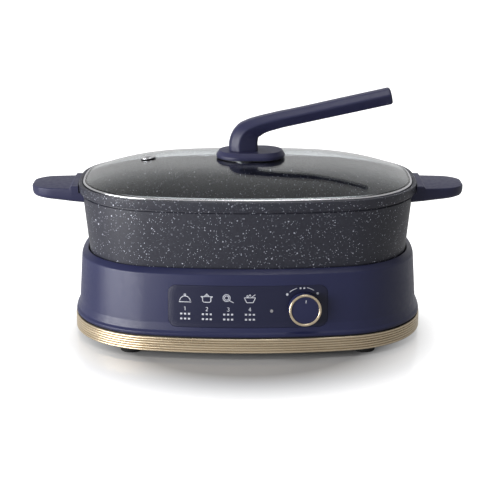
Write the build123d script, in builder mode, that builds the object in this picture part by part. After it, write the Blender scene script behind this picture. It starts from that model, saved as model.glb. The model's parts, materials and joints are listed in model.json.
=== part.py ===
"""Electric hot pot: an oval heating base, a lift-out pot and a lift-off glass lid.

Frame: millimetres, +Z up, +X along the pot's length, -Y towards the user.
The origin is on the table, under the middle of the appliance.

Almost every wall follows one plan outline, the pot's top edge.  It is made of
eight arcs that run into each other, so growing it by a distance gives an exact
parallel outline.  A wall is written as (grow, height) points: how far it stands
outside the pot's top edge, and how high.
"""

import os
from math import acos, asin, atan2, cos, degrees, hypot, radians, sin, tan

from build123d import *

os.makedirs("parts", exist_ok=True)

# ---------------------------------------------------------------- driving sizes
# Plan outline of the pot's top edge.
pot_length = 332.2
pot_width = 213.6
side_radius = 520.0  # the long sides
end_radius = 300.0  # the short ends
corner_radius = 84.0

# Clearances.
body_gap = 0.3  # between parts that are lifted apart
fit_gap = 0.2  # between fixed parts that drop into each other
shaft_gap = 0.05  # a shaft turning or sliding in its hole
overcut = 1.0  # how far a cutting shape runs past the face that it cuts
thread_share = 0.8  # how much of a threaded hole its screw fills
slot_reach_share = 0.7  # a screw's cross slot, as shares of its head
slot_width_share = 0.14

# Feet and bottom cover.
foot_height = 5.9
foot_diameter = 24.0
foot_toe = 2.0  # the foot's radius grows by this from floor to cover
foot_stem = 7.0
foot_head = 9.0
foot_head_height = 1.6
foot_chamfer = 0.8
foot_inset_x = 54.1  # foot's middle inside the pot's top edge
foot_inset_y = 23.8
cover_thick = 2.2
cover_wall = 2.4
vent_width = 3.0
vent_length = 34.0
vent_pitch = 9.0
vent_count = 8
vent_row_pitch = 51.0
cover_screw = 3.0  # thread diameter
cover_screw_head = 6.0
cover_screw_length = 12.0
cover_boss = 8.0
cover_boss_top = 48.0
boss_inset = 5.4  # a boss's middle inside the pot's top edge
boss_directions = (25, 86, 94, 155, 205, 266, 274, 335)

# Ribbed metal-look trim band.
trim_bottom = 5.7
rib_pitch = 2.4
rib_count = 6
rib_depth = 0.8
trim_grow = 5.6
trim_rib_land = 0.5  # flat at a rib's crest, as a share of its pitch
trim_gap_above = 1.3  # shadow gap under the housing

# Base housing.
housing_wall = 2.8
flare_grow = 5.0
flare_height = 14.6
flare_curve = [(0.0, 0.0), (0.3, 5.4), (1.5, 9.2), (3.1, 12.4)]  # inward and up from its foot
inner_flare_lag = 2.0  # how much higher the inside leaves the flare
spigot_grow = 2.6  # the bottom cover's wall, which the housing fits over
spigot_rise = 4.0
foot_of_wall_grow = 1.1
shoulder_height = 80.8
shoulder_grow = -1.8
lip_height = 85.3
lip_bevel_in = 0.54
lip_bevel_up = 0.9
lip_crest_grow = -8.0
lip_inner_grow = -8.4
lip_depth = 6.5

# Well, heating plate and sensor.
tray_thick = 0.8
tray_floor_height = 55.2
tray_step = 0.9  # the tray's wall stands this far outside the lip's inside
tray_collar = 2.6  # height of the collar round the tray's hole
plate_share = 0.62  # heating plate outline as a share of the pot's top edge
plate_thick = 10.0
plate_edge = 1.0
plate_tap_share = 0.6  # depth of its threaded holes
plate_hole_gap = 1.5
element_diameter = 6.8
element_inset_x = 19.0  # centre line of the loop inside the plate's edge
element_inset_y = 18.2
element_bend = 34.0
element_leg_x = 12.0
element_leg_bend = 9.0
element_sink = 0.7  # the element's middle under the plate's bottom face
insulator_diameter = 7.7
insulator_length = 9.0
insulator_gap = 1.8  # from the plate's edge
terminal_size = (6.3, 9.0, 0.8)
reflector_share = 0.58
reflector_height = 36.0
reflector_thick = 0.8
post_inset_x = 41.0  # post's middle inside the plate's edge
post_inset_y = 36.2
post_diameter = 7.0
post_collar = 10.0
post_screw = 4.0
post_screw_head = 7.6
post_tap = 10.5  # depth of the threaded hole in its foot
sensor_diameter = 20.0
sensor_hole = 24.0
sensor_height = 8.0
sensor_wall = 1.5
sensor_stem = 6.0
sensor_edge = 1.0
sensor_head = 9.0
guide_diameter = 25.0
guide_wall = 1.0
guide_depth = 9.7
guide_flange = 34.0
spring_mean = 12.0
spring_wire = 1.0
spring_turns = 5
fuse_diameter = 4.4
fuse_length = 18.0
fuse_x = 36.0
fuse_gap = 0.4  # under the plate
fuse_lead = 1.2
fuse_lead_reach = 6.0
clip_width = 8.0
clip_thick = 1.0
clip_foot = 7.0

# Pot.
pot_bottom_height = 62.0
pot_top_height = 151.2
pot_band = 9.0
pot_band_taper = 1.0
pot_edge = 0.8
pot_wall_grow = -3.9  # wall just under the band
pot_draft = 5.7  # degrees
pot_bottom_radius = 25.0
pot_floor_thick = 4.0
pot_wall_thick = 4.0
rim_fence = 3.8  # width of the raised edge around the lid
rim_ledge_drop = 2.0
rim_ledge = 4.2

# Pot handles.
handle_reach = 46.4  # beyond the pot's top edge
handle_width = 60.0
handle_tip_width = 51.0
handle_drop = 5.2  # the handle's flat top under the pot's top edge
handle_thick = 14.5  # at the pot's wall
handle_under_rise = 0.1  # slope of the underside, up towards the tip
handle_tip_radius = 20.0
handle_collar_length = 5.5
handle_collar_rise = 2.3
handle_collar_slope = 2.2
handle_under_edge = 5.0
handle_gap = 0.6  # shadow gap to the pot's band
handle_seat_gap = 0.05  # to the pot's wall
handle_root = 30.0  # how far inside the pot's top edge the blank starts, before it is trimmed
lug_drop = 3.6  # the lug's top under the handle's flat top
lug_width = 30.0
lug_length = 26.0
lug_thick = 4.0
handle_screw = 4.0
handle_screw_head = 7.6
handle_screw_head_height = 2.2
handle_screw_sink = 4.6  # the head's seat over the underside at the pot's wall
handle_screw_pitch = 18.0
handle_screw_inset = 8.0  # from the lug's end

# Glass lid.
glass_thick = 3.2
lid_rim_gap = 0.7  # inside the pot's raised edge
rim_sheet = 0.6
rim_lip = 4.4
rim_skirt = 8.6
rim_skirt_gap = 1.0  # to the pot's wall
rim_edge = 0.5
glass_rim = 5.4  # flat margin of the glass
dome_rise = 17.9
dome_power = 3.4
dome_flat_share = 0.21
vent_x = -98.6
vent_y = 10.0
vent_flange = 16.0
vent_hole = 4.0
grommet_diameter = 12.0
grommet_wall = 1.5
grommet_flange_in = 0.6  # inside the eyelet's flange
grommet_flange_thick = 0.8
grommet_neck_out = 0.4  # beyond the glass, inside the lid
eyelet_flange_thick = 0.9
eyelet_edge = 0.4
eyelet_tube_out = 1.4  # beyond the glass, inside the lid
washer_thick = 1.2
washer_diameter = 32.0
lid_screw = 5.0
lid_screw_head = 11.0
lid_screw_head_height = 3.0
lid_screw_hole = 7.0
mount_screw_hole = 5.6
gasket_thick = 0.8

# Lid handle.
mount_length = 67.6
mount_width = 46.0
mount_height = 6.9
mount_x = 3.0
mount_edge_drop = 3.9
mount_edge_in = 2.8
post_x = -4.0
insert_diameter = 8.0
insert_length = 14.0
arm_angle = 12.4  # degrees above level
arm_tip_x = 138.7  # where the tip starts to round off
arm_start_rise = 32.2  # of the arm's middle over the mount, where the bend ends
tip_radius = 2.4
arm_start_x = 41.5
arm_start_size = (15.2, 24.0)  # thickness and width
arm_tip_size = (15.6, 23.0)

# Control panel and knob.
panel_left = -75.0
panel_right = 75.7
panel_bottom = 30.2
panel_top = 70.8
panel_corner = 8.0
panel_thick = 1.4
panel_gap = 0.1  # seam around the panel
panel_proud = 0.1
knob_x = 52.95
knob_z = 49.05
knob_diameter = 31.0
knob_lift = 1.7
knob_height = 11.6
knob_ring_width = 3.0
knob_ring_height = 3.2
knob_face_sink = 1.0
knob_wall = 2.4
knob_roof = 3.4
knob_ring_step = 0.3  # the ring stands out this far over the body
knob_ring_edge = 1.2
knob_hub_gap = 0.6
shaft_diameter = 6.0
bushing_diameter = 9.0
bushing_proud = 0.5  # beyond the nut
shaft_depth = 5.6  # inside the control
shaft_flat_height = 2.25  # of its flat, from the axis
nut_flats = 12.0
nut_thick = 2.0
control_diameter = 11.6
control_depth = 8.0
lamp_x = 22.6
lamp_z = 46.4
lamp_diameter = 3.0
board_thick = 1.6
board_inset = 12.6  # behind the front of the pot's top edge
board_left = -58.0
board_right = 72.0
board_bottom = 26.0
board_top = 52.0
board_notch = (15.5, 13.0)
board_screw = 2.5
board_screw_length = 6.0
board_screw_head = 4.6
board_screw_head_height = 1.4

# Power inlet and power board.
inlet_z = 41.0
inlet_length = 40.0
inlet_height = 24.0
inlet_corner = 6.0
inlet_wall = 2.5
inlet_proud = 11.8  # beyond the back of the pot's top edge
inlet_recess = 20.0
inlet_back = 8.0
inlet_flange = 58.0
inlet_flange_height = 16.0
inlet_flange_thick = 3.0
inlet_edge = 1.0
inlet_pin = 4.0
inlet_pin_pitch = 14.0
inlet_pin_drop = 3.0
inlet_earth_rise = 4.0
inlet_pin_edge = 0.6
inlet_pin_reach = 15.0
inlet_tab_reach = 6.0
inlet_screw = 3.0
inlet_screw_head = 5.6
inlet_screw_head_height = 1.8
inlet_boss = 6.8
inlet_boss_depth = 5.0
inlet_screw_pitch = 49.0
power_board_size = (116.0, 38.0)
power_board_inset = 40.8  # the board's middle inside the back of the pot's top edge
power_board_height = 14.0
board_stand = 6.0
board_hole_inset = 4.0  # from a board's edges
relay_size = (19.0, 15.5, 15.8)
relay_corner = 1.0
relay_edge = 0.5
relay_inset = 24.0  # the relay's middle from the board's end
block_size = (30.0, 12.0, 10.0)
block_inset = 34.0
block_well = 3.75
block_well_depth = 2.0
wire_diameter = 2.5
wire_bend = 5.0
wire_lead_out = 8.0  # straight run out of a pin or a terminal
wire_sag = 2.0
earth_lead_out = 9.0
earth_wire_gap = 0.5  # under the plate
lead_side_out = 11.0
lead_drop = 9.0
lead_sag = 4.0
earth_inset = 9.2  # the earth screw inside the plate's edge
earth_head = 8.0
earth_head_height = 3.0

# ---------------------------------------------------------------- worked-out sizes
pot_front = pot_width / 2
pot_end = pot_length / 2
side_centre = pot_front - side_radius
end_centre = pot_end - end_radius

# The corner arc's centre is as far from both other centres as the radii differ.
reach_side = side_radius - corner_radius
reach_end = end_radius - corner_radius
centre_gap = hypot(end_centre, side_centre)
side_bearing = atan2(side_centre, -end_centre)  # from the end's centre to the side's
corner_turn = acos((reach_end**2 + centre_gap**2 - reach_side**2) / (2 * reach_end * centre_gap))
corner_angle = side_bearing + corner_turn
corner_x = end_centre + reach_end * cos(corner_angle)
corner_y = reach_end * sin(corner_angle)
end_half_angle = degrees(atan2(corner_y, corner_x - end_centre))
side_from_angle = degrees(atan2(corner_y - side_centre, corner_x))

trim_top = trim_bottom + rib_pitch * rib_count
flare_bottom = trim_top + trim_gap_above
flare_top = flare_bottom + flare_height
cover_bottom = foot_height
cover_top = cover_bottom + cover_thick
pot_wall_top = pot_top_height - pot_band
handle_top_height = pot_top_height - handle_drop
plate_end = pot_end * plate_share
plate_back = pot_front * plate_share
earth_screw_y = plate_back - earth_inset
power_board_y = pot_front - power_board_inset
relay_x = power_board_size[0] / 2 - relay_inset
block_x = block_inset - power_board_size[0] / 2
plate_top = pot_bottom_height - body_gap
plate_bottom = plate_top - plate_thick
plate_tap = plate_thick * plate_tap_share
ledge_height = pot_top_height - rim_ledge_drop
ledge_inner_grow = -rim_fence - rim_ledge
pot_bottom_grow = pot_wall_grow - (pot_wall_top - pot_bottom_height) * tan(radians(pot_draft))


def arc_of(direction):
    """Centre and radius of the outline's arc whose outward normal has this direction."""
    turned = direction % 360
    right = 1 if cos(radians(turned)) >= 0 else -1
    back = 1 if sin(radians(turned)) >= 0 else -1
    slope = degrees(atan2(abs(sin(radians(turned))), abs(cos(radians(turned)))))
    if slope < end_half_angle:
        return right * end_centre, 0.0, end_radius
    if slope > side_from_angle:
        return 0.0, back * side_centre, side_radius
    return right * corner_x, back * corner_y, corner_radius


def edge_point(direction, grow=0.0):
    """Point of the grown outline whose outward normal has this direction, in degrees."""
    x, y, radius = arc_of(direction)
    return (
        x + (radius + grow) * cos(radians(direction)),
        y + (radius + grow) * sin(radians(direction)),
    )


def plan_face(grow=0.0, share=1.0):
    """Add the plan outline, grown evenly and then scaled to a share, to the open sketch."""
    starts = (
        -end_half_angle,
        end_half_angle,
        side_from_angle,
        180 - side_from_angle,
        180 - end_half_angle,
        180 + end_half_angle,
        180 + side_from_angle,
        360 - side_from_angle,
        360 - end_half_angle,
    )
    with BuildLine() as loop:
        for start, stop in zip(starts, starts[1:]):
            x, y, radius = arc_of((start + stop) / 2)
            CenterArc((x * share, y * share), (radius + grow) * share, start, stop - start)
    make_face(loop.edges())


def plan_slab(low, high, grow=0.0, share=1.0, mode=Mode.ADD):
    """Add or cut a level slab of the plan outline between two heights."""
    with BuildSketch(Plane.XY.offset(low)) as slab:
        plan_face(grow, share)
    extrude(slab.sketch, amount=high - low, mode=mode)


def plan_wall(profile, mode=Mode.ADD):
    """Add or cut the solid whose side follows (grow, height) points, lowest first."""
    sections = []
    for grow, height in profile:
        with BuildSketch(Plane.XY.offset(height)) as section:
            plan_face(grow)
        sections.append(section.sketch)
    loft(sections, ruled=True, mode=mode)


def along(profile, height):
    """Grow of a wall at a height, on the straight runs between its profile's points."""
    for (grow_low, low), (grow_high, high) in zip(profile, profile[1:]):
        if low <= height <= high:
            return grow_low + (grow_high - grow_low) * (height - low) / (high - low)
    raise ValueError(f"{height} is off the profile")


def save(piece, name):
    """Label a finished piece and write its STEP file."""
    piece.part.label = name
    export_step(piece.part, f"parts/{name}.step")


# ---------------------------------------------------------------- base housing
wall_outside = [(flare_grow - inward, flare_bottom + up) for inward, up in flare_curve]
wall_outside += [(foot_of_wall_grow, flare_top), (shoulder_grow, shoulder_height)]
lip_outside = [
    (shoulder_grow, shoulder_height),
    (shoulder_grow - lip_bevel_in, shoulder_height + lip_bevel_up),
    (lip_crest_grow, lip_height),
]
spigot_top = flare_bottom + spigot_rise
wall_inside = [
    (spigot_grow + fit_gap, flare_bottom),
    (spigot_grow + fit_gap, spigot_top + fit_gap),
    (foot_of_wall_grow - housing_wall, flare_top + inner_flare_lag),
    (shoulder_grow - housing_wall, lip_height - lip_depth),
]
wall_draft = degrees(
    atan2(foot_of_wall_grow - shoulder_grow, shoulder_height - flare_top)
)

# The knob stands on the wall's own normal, where the panel carries it.
knob_grow = along(wall_outside, knob_z)
knob_direction = -90 + degrees(asin(knob_x / (side_radius + knob_grow)))
knob_point = edge_point(knob_direction, knob_grow)
knob_normal = Vector(
    cos(radians(knob_direction)) * cos(radians(wall_draft)),
    sin(radians(knob_direction)) * cos(radians(wall_draft)),
    sin(radians(wall_draft)),
)
knob_across = Vector(-sin(radians(knob_direction)), cos(radians(knob_direction)), 0)
knob_seat = Plane(origin=(*knob_point, knob_z), x_dir=knob_across, z_dir=knob_normal)

panel_middle_x = (panel_left + panel_right) / 2
panel_middle_z = (panel_bottom + panel_top) / 2
panel_size = (panel_right - panel_left, panel_top - panel_bottom)
board_face_y = -(pot_front - board_inset)
board_middle_x = (board_left + board_right) / 2
board_middle_z = (board_bottom + board_top) / 2
board_screw_pitch_x = board_right - board_left - 2 * board_hole_inset
board_screw_pitch_z = board_top - board_bottom - 2 * board_hole_inset
board_places = GridLocations(board_screw_pitch_x, board_screw_pitch_z, 2, 2)
boss_points = [edge_point(direction, -boss_inset) for direction in boss_directions]


def front_sketch_plane(x, z, y):
    """Plane that faces the user: local X is to the right, local Y is up, Z points to -Y."""
    return Plane(origin=(x, y, z), x_dir=(1, 0, 0), z_dir=(0, -1, 0))


def panel_prism(shrink, mode):
    """Add or keep the panel's rounded rectangle, pushed through the front wall."""
    with BuildSketch(front_sketch_plane(panel_middle_x, panel_middle_z, -pot_front / 2)) as shape:
        RectangleRounded(
            panel_size[0] - 2 * shrink, panel_size[1] - 2 * shrink, panel_corner - shrink
        )
    extrude(shape.sketch, amount=pot_front, mode=mode)


back_wall_y = pot_front + along(wall_outside, inlet_z)
inlet_inner_y = back_wall_y - housing_wall
inlet_face_y = pot_front + inlet_proud
inlet_floor_y = inlet_face_y - inlet_recess
inlet_rear_y = inlet_floor_y - inlet_back
inlet_plane = Plane(origin=(0, inlet_rear_y, inlet_z), x_dir=(-1, 0, 0), z_dir=(0, 1, 0))
inlet_places = GridLocations(inlet_screw_pitch, inlet_height, 2, 1)

with BuildPart() as panel_pocket:
    panel_prism(0.0, Mode.ADD)
    plan_wall(
        [(grow - panel_thick, height) for grow, height in wall_outside],
        mode=Mode.SUBTRACT,
    )

# Bosses and posts run into the wall and are trimmed behind the panel's pocket.
boss_cover = panel_thick + 2 * fit_gap
inlet_boss_plane = inlet_plane.offset(inlet_inner_y - inlet_boss_depth - inlet_rear_y)
board_plane = front_sketch_plane(board_middle_x, board_middle_z, board_face_y)
with BuildPart() as inner_bosses:
    with BuildSketch(Plane.XY.offset(cover_top + fit_gap)) as cover_bosses:
        with Locations(*boss_points):
            Circle(cover_boss / 2)
    extrude(cover_bosses.sketch, amount=cover_boss_top - cover_top - fit_gap)
    with BuildSketch(board_plane) as board_posts:
        with board_places:
            Circle(board_stand / 2)
    extrude(board_posts.sketch, amount=board_inset + flare_grow)
    with BuildSketch(inlet_boss_plane) as inlet_bosses:
        with inlet_places:
            Circle(inlet_boss / 2)
    extrude(inlet_bosses.sketch, amount=inlet_boss_depth + housing_wall)
    plan_wall(
        [(wall_outside[0][0] - boss_cover, cover_top)]
        + [(grow - boss_cover, height) for grow, height in wall_outside],
        mode=Mode.INTERSECT,
    )

with BuildPart() as base_housing:
    plan_wall(wall_outside)
    plan_wall(lip_outside)
    plan_wall(wall_inside, mode=Mode.SUBTRACT)
    plan_slab(
        lip_height - lip_depth - overcut,
        lip_height + overcut,
        lip_inner_grow,
        mode=Mode.SUBTRACT,
    )
    add(panel_pocket.part, mode=Mode.SUBTRACT)
    add(inner_bosses.part)
    # Threaded holes for the cover, the control board and the power inlet.
    with BuildSketch(Plane.XY.offset(cover_top)) as cover_threads:
        with Locations(*boss_points):
            Circle(cover_screw / 2)
    extrude(cover_threads.sketch, amount=cover_screw_length, mode=Mode.SUBTRACT)
    with BuildSketch(board_plane) as board_threads:
        with board_places:
            Circle(board_screw / 2)
    extrude(board_threads.sketch, amount=board_screw_length, mode=Mode.SUBTRACT)
    with BuildSketch(inlet_boss_plane) as inlet_threads:
        with inlet_places:
            Circle(inlet_screw / 2)
    extrude(inlet_threads.sketch, amount=inlet_boss_depth, mode=Mode.SUBTRACT)
    # Openings for the inlet's shroud, the lamp and the knob's bushing.
    with BuildSketch(inlet_plane) as inlet_hole:
        RectangleRounded(
            inlet_length + 2 * fit_gap, inlet_height + 2 * fit_gap, inlet_corner + fit_gap
        )
    extrude(inlet_hole.sketch, amount=inlet_face_y - inlet_rear_y, mode=Mode.SUBTRACT)
    with BuildSketch(front_sketch_plane(lamp_x, lamp_z, board_face_y)) as lamp_hole:
        Circle(lamp_diameter / 2)
    extrude(lamp_hole.sketch, amount=pot_front, mode=Mode.SUBTRACT)
    with BuildSketch(knob_seat.offset(-2 * housing_wall)) as bushing_hole:
        Circle(bushing_diameter / 2)
    extrude(bushing_hole.sketch, amount=4 * housing_wall, mode=Mode.SUBTRACT)
save(base_housing, "base_housing")

# ---------------------------------------------------------------- trim band and bottom cover
cover_flange_grow = 4.2
cover_flange_thick = 1.6
cover_flange_top = cover_bottom + cover_flange_thick
rib_profile = []
for rib in range(rib_count):
    low = trim_bottom + rib * rib_pitch
    side = rib_pitch * (1 - trim_rib_land) / 2
    rib_profile += [
        (trim_grow - rib_depth, low),
        (trim_grow, low + side),
        (trim_grow, low + rib_pitch - side),
    ]
rib_profile.append((trim_grow - rib_depth, trim_top))

with BuildPart() as trim_band:
    plan_wall(rib_profile)
    plan_slab(
        trim_bottom - overcut, trim_top + overcut, spigot_grow + fit_gap, mode=Mode.SUBTRACT
    )
    plan_slab(
        trim_bottom - overcut,
        cover_flange_top + fit_gap,
        cover_flange_grow + fit_gap,
        mode=Mode.SUBTRACT,
    )
save(trim_band, "trim_band")

vent_places = GridLocations(vent_pitch, vent_row_pitch, vent_count, 2)
foot_places = GridLocations(
    pot_length - 2 * foot_inset_x, pot_width - 2 * foot_inset_y, 2, 2
)
post_places = GridLocations(2 * (plate_end - post_inset_x), 2 * (plate_back - post_inset_y), 2, 2)
power_board_places = GridLocations(
    power_board_size[0] - 2 * board_hole_inset, power_board_size[1] - 2 * board_hole_inset, 2, 2
)
power_board_plane = Plane(origin=(0, power_board_y, 0))

with BuildPart() as bottom_cover:
    plan_slab(cover_bottom, cover_flange_top, cover_flange_grow)
    plan_slab(cover_bottom, spigot_top, spigot_grow)
    plan_slab(cover_top, spigot_top + overcut, spigot_grow - cover_wall, mode=Mode.SUBTRACT)
    with BuildSketch(power_board_plane.offset(cover_top)) as board_stands:
        with power_board_places:
            Circle(board_stand / 2)
    extrude(board_stands.sketch, amount=power_board_height - cover_top)
    with BuildSketch(Plane.XY.offset(cover_bottom)) as cover_cuts:
        with vent_places:
            SlotOverall(vent_length, vent_width, rotation=90)
        with foot_places:
            Circle(foot_stem / 2)
        with post_places:
            Circle(post_screw / 2)
        with Locations(*boss_points):
            Circle(cover_screw / 2)
    extrude(cover_cuts.sketch, amount=cover_thick, mode=Mode.SUBTRACT)
    with BuildSketch(Plane.XY.offset(cover_bottom)) as head_sinks:
        with Locations(*boss_points):
            Circle(cover_screw_head / 2)
        with post_places:
            Circle(post_screw)
    extrude(head_sinks.sketch, amount=cover_thick / 2, mode=Mode.SUBTRACT)
    with BuildSketch(power_board_plane.offset(power_board_height)) as stand_threads:
        with power_board_places:
            Circle(board_screw / 2)
    extrude(stand_threads.sketch, amount=cover_top - power_board_height, mode=Mode.SUBTRACT)
save(bottom_cover, "bottom_cover")

with BuildPart() as foot:
    with BuildSketch(Plane.XZ):
        with BuildLine():
            Polyline(
                (0, 0),
                (foot_diameter / 2 - foot_toe - foot_chamfer, 0),
                (foot_diameter / 2 - foot_toe, foot_chamfer),
                (foot_diameter / 2, cover_bottom),
                (foot_stem / 2, cover_bottom),
                (foot_stem / 2, cover_top),
                (foot_head / 2, cover_top),
                (foot_head / 2, cover_top + foot_head_height),
                (0, cover_top + foot_head_height),
                close=True,
            )
        make_face()
    revolve(axis=Axis.Z)

with BuildPart() as feet:
    with foot_places:
        add(foot.part)
save(feet, "feet")


def screw_group(places, plane, thread, length, head, head_height):
    """Screws whose heads stand at the plane and whose threads run along its normal."""
    with BuildPart() as group:
        with BuildSketch(plane) as heads:
            with places:
                Circle(head / 2)
        extrude(heads.sketch, amount=head_height)
        with BuildSketch(plane.offset(head_height)) as shanks:
            with places:
                Circle(thread / 2)
        extrude(shanks.sketch, amount=length - head_height)
        with BuildSketch(plane) as slots:
            with places:
                Rectangle(head * slot_reach_share, head * slot_width_share)
                Rectangle(head * slot_width_share, head * slot_reach_share)
        extrude(slots.sketch, amount=head_height / 2, mode=Mode.SUBTRACT)
    return group


head_sink_top = cover_bottom + cover_thick / 2
cover_head_height = (cover_thick - fit_gap) / 2
cover_screws = screw_group(
    Locations(*boss_points),
    Plane.XY.offset(head_sink_top - cover_head_height),
    cover_screw,
    cover_screw_length,
    cover_screw_head,
    cover_head_height,
)
save(cover_screws, "cover_screws")

# ---------------------------------------------------------------- well tray
tray_outside_grow = lip_inner_grow + tray_step
tray_top = lip_height - lip_depth
tray_flange_grow = wall_inside[-1][0] - fit_gap
tray_hole_grow = plate_hole_gap / plate_share

with BuildPart() as well_tray:
    plan_slab(tray_floor_height, tray_top, tray_outside_grow)
    plan_slab(tray_top - tray_thick, tray_top, tray_flange_grow)
    plan_slab(
        tray_floor_height + tray_thick,
        tray_top + overcut,
        tray_outside_grow - tray_thick,
        mode=Mode.SUBTRACT,
    )
    collar_top = tray_floor_height + tray_thick + tray_collar
    collar_grow = tray_hole_grow + tray_thick / plate_share
    plan_slab(tray_floor_height, collar_top, collar_grow, plate_share)
    plan_slab(
        tray_floor_height - overcut,
        collar_top + overcut,
        tray_hole_grow,
        plate_share,
        mode=Mode.SUBTRACT,
    )
save(well_tray, "well_tray")

# ---------------------------------------------------------------- heating plate and element
element_radius = element_diameter / 2
element_z = plate_bottom - element_sink
element_back_y = plate_back - element_inset_y
element_end_y = plate_back + insulator_gap + insulator_length
element_x = plate_end - element_inset_x
element_path = [
    (-element_leg_x, element_end_y, element_z),
    (-element_leg_x, element_back_y, element_z),
    (-element_x, element_back_y, element_z),
    (-element_x, -element_back_y, element_z),
    (element_x, -element_back_y, element_z),
    (element_x, element_back_y, element_z),
    (element_leg_x, element_back_y, element_z),
    (element_leg_x, element_end_y, element_z),
]
element_bends = [element_leg_bend] + [element_bend] * 4 + [element_leg_bend]


def rod(path, bends, diameter):
    """Round rod or wire along straight runs with a bend at each corner."""
    with BuildPart() as piece:
        with BuildLine() as route:
            FilletPolyline(*path, radius=bends)
        start = route.line @ 0
        with BuildSketch(Plane(origin=start, z_dir=route.line % 0)) as section:
            Circle(diameter / 2)
        sweep(section.sketch, path=route.line)
    return piece


heating_element = rod(element_path, element_bends, element_diameter)
element_groove = rod(element_path, element_bends, element_diameter + 2 * shaft_gap)

with BuildPart() as heating_plate:
    plan_slab(plate_bottom, plate_top, share=plate_share)
    top_rim = heating_plate.faces().sort_by(Axis.Z)[-1].edges()
    chamfer(top_rim, plate_edge)
    with BuildSketch(Plane.XY.offset(plate_bottom)) as plate_holes:
        Circle(sensor_hole / 2)
    extrude(plate_holes.sketch, amount=plate_thick, mode=Mode.SUBTRACT)
    with BuildSketch(Plane.XY.offset(plate_bottom)) as post_threads:
        with post_places:
            Circle(post_screw / 2)
        with Locations((0, earth_screw_y)):
            Circle(post_screw / 2)
    extrude(post_threads.sketch, amount=plate_tap, mode=Mode.SUBTRACT)
    add(element_groove.part, mode=Mode.SUBTRACT)
save(heating_plate, "heating_plate")
save(heating_element, "heating_element")

insulator_y = element_end_y - insulator_length
with BuildPart() as element_insulators:
    insulator_plane = Plane(origin=(0, insulator_y, element_z), x_dir=(-1, 0, 0), z_dir=(0, 1, 0))
    with BuildSketch(insulator_plane) as rings:
        with GridLocations(2 * element_leg_x, 1, 2, 1):
            Circle(insulator_diameter / 2)
            Circle(element_radius, mode=Mode.SUBTRACT)
    extrude(rings.sketch, amount=insulator_length)
save(element_insulators, "element_insulators")

terminal_width, terminal_reach, terminal_thick = terminal_size
with BuildPart() as element_terminals:
    with Locations(
        (-element_leg_x, element_end_y + terminal_reach / 2, element_z),
        (element_leg_x, element_end_y + terminal_reach / 2, element_z),
    ):
        Box(terminal_width, terminal_reach, terminal_thick)
save(element_terminals, "element_terminals")

with BuildPart() as heat_reflector:
    plan_slab(reflector_height, reflector_height + reflector_thick, share=reflector_share)
    with BuildSketch(Plane.XY.offset(reflector_height)) as reflector_holes:
        with post_places:
            Circle(post_diameter / 2)
    extrude(reflector_holes.sketch, amount=reflector_thick, mode=Mode.SUBTRACT)
save(heat_reflector, "heat_reflector")

post_collar_thick = 1.5
with BuildPart() as plate_posts:
    with BuildSketch(Plane.XY.offset(cover_top)) as columns:
        with post_places:
            Circle(post_diameter / 2)
    extrude(columns.sketch, amount=plate_bottom - cover_top)
    with BuildSketch(Plane.XY.offset(reflector_height - post_collar_thick)) as collars:
        with post_places:
            Circle(post_collar / 2)
    extrude(collars.sketch, amount=post_collar_thick)
    with BuildSketch(Plane.XY.offset(plate_bottom)) as studs:
        with post_places:
            Circle(post_screw / 2)
    extrude(studs.sketch, amount=plate_tap)
    with BuildSketch(Plane.XY.offset(cover_top)) as column_threads:
        with post_places:
            Circle(post_screw / 2)
    extrude(column_threads.sketch, amount=post_tap, mode=Mode.SUBTRACT)
save(plate_posts, "plate_posts")

plate_screws = screw_group(
    post_places,
    Plane.XY.offset(head_sink_top - cover_head_height),
    post_screw,
    cover_screw_length,
    post_screw_head,
    cover_head_height,
)
save(plate_screws, "plate_screws")

# ---------------------------------------------------------------- temperature sensor
guide_bottom = plate_bottom - guide_depth
guide_floor = guide_bottom + guide_wall
cap_bottom = plate_top - sensor_height
cap_ceiling = plate_top - sensor_wall
stem_head_thick = 1.5
stem_head_top = guide_bottom - body_gap

with BuildPart() as sensor_guide:
    with BuildSketch(Plane.XZ):
        with BuildLine():
            Polyline(
                (sensor_stem / 2 + shaft_gap, guide_bottom),
                (guide_diameter / 2, guide_bottom),
                (guide_diameter / 2, plate_bottom - guide_wall),
                (guide_flange / 2, plate_bottom - guide_wall),
                (guide_flange / 2, plate_bottom),
                (guide_diameter / 2 - guide_wall, plate_bottom),
                (guide_diameter / 2 - guide_wall, guide_floor),
                (sensor_stem / 2 + shaft_gap, guide_floor),
                close=True,
            )
        make_face()
    revolve(axis=Axis.Z)
save(sensor_guide, "sensor_guide")

with BuildPart() as sensor_cap:
    with BuildSketch(Plane.XZ):
        with BuildLine():
            Polyline(
                (0, plate_top),
                (sensor_diameter / 2 - sensor_edge, plate_top),
                (sensor_diameter / 2, plate_top - sensor_edge),
                (sensor_diameter / 2, cap_bottom),
                (sensor_diameter / 2 - sensor_wall, cap_bottom),
                (sensor_diameter / 2 - sensor_wall, cap_ceiling),
                (sensor_stem / 2, cap_ceiling),
                (sensor_stem / 2, stem_head_top),
                (sensor_head / 2, stem_head_top),
                (sensor_head / 2, stem_head_top - stem_head_thick),
                (0, stem_head_top - stem_head_thick),
                close=True,
            )
        make_face()
    revolve(axis=Axis.Z)
save(sensor_cap, "sensor_cap")

spring_height = cap_ceiling - guide_floor - spring_wire
with BuildPart() as sensor_spring:
    with BuildLine(Plane.XY.offset(guide_floor + spring_wire / 2)) as coil:
        Helix(spring_height / spring_turns, spring_height, spring_mean / 2)
    with BuildSketch(Plane(origin=coil.line @ 0, z_dir=coil.line % 0)) as wire_section:
        Circle(spring_wire / 2)
    sweep(wire_section.sketch, path=coil.line, is_frenet=True)
save(sensor_spring, "sensor_spring")

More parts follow.
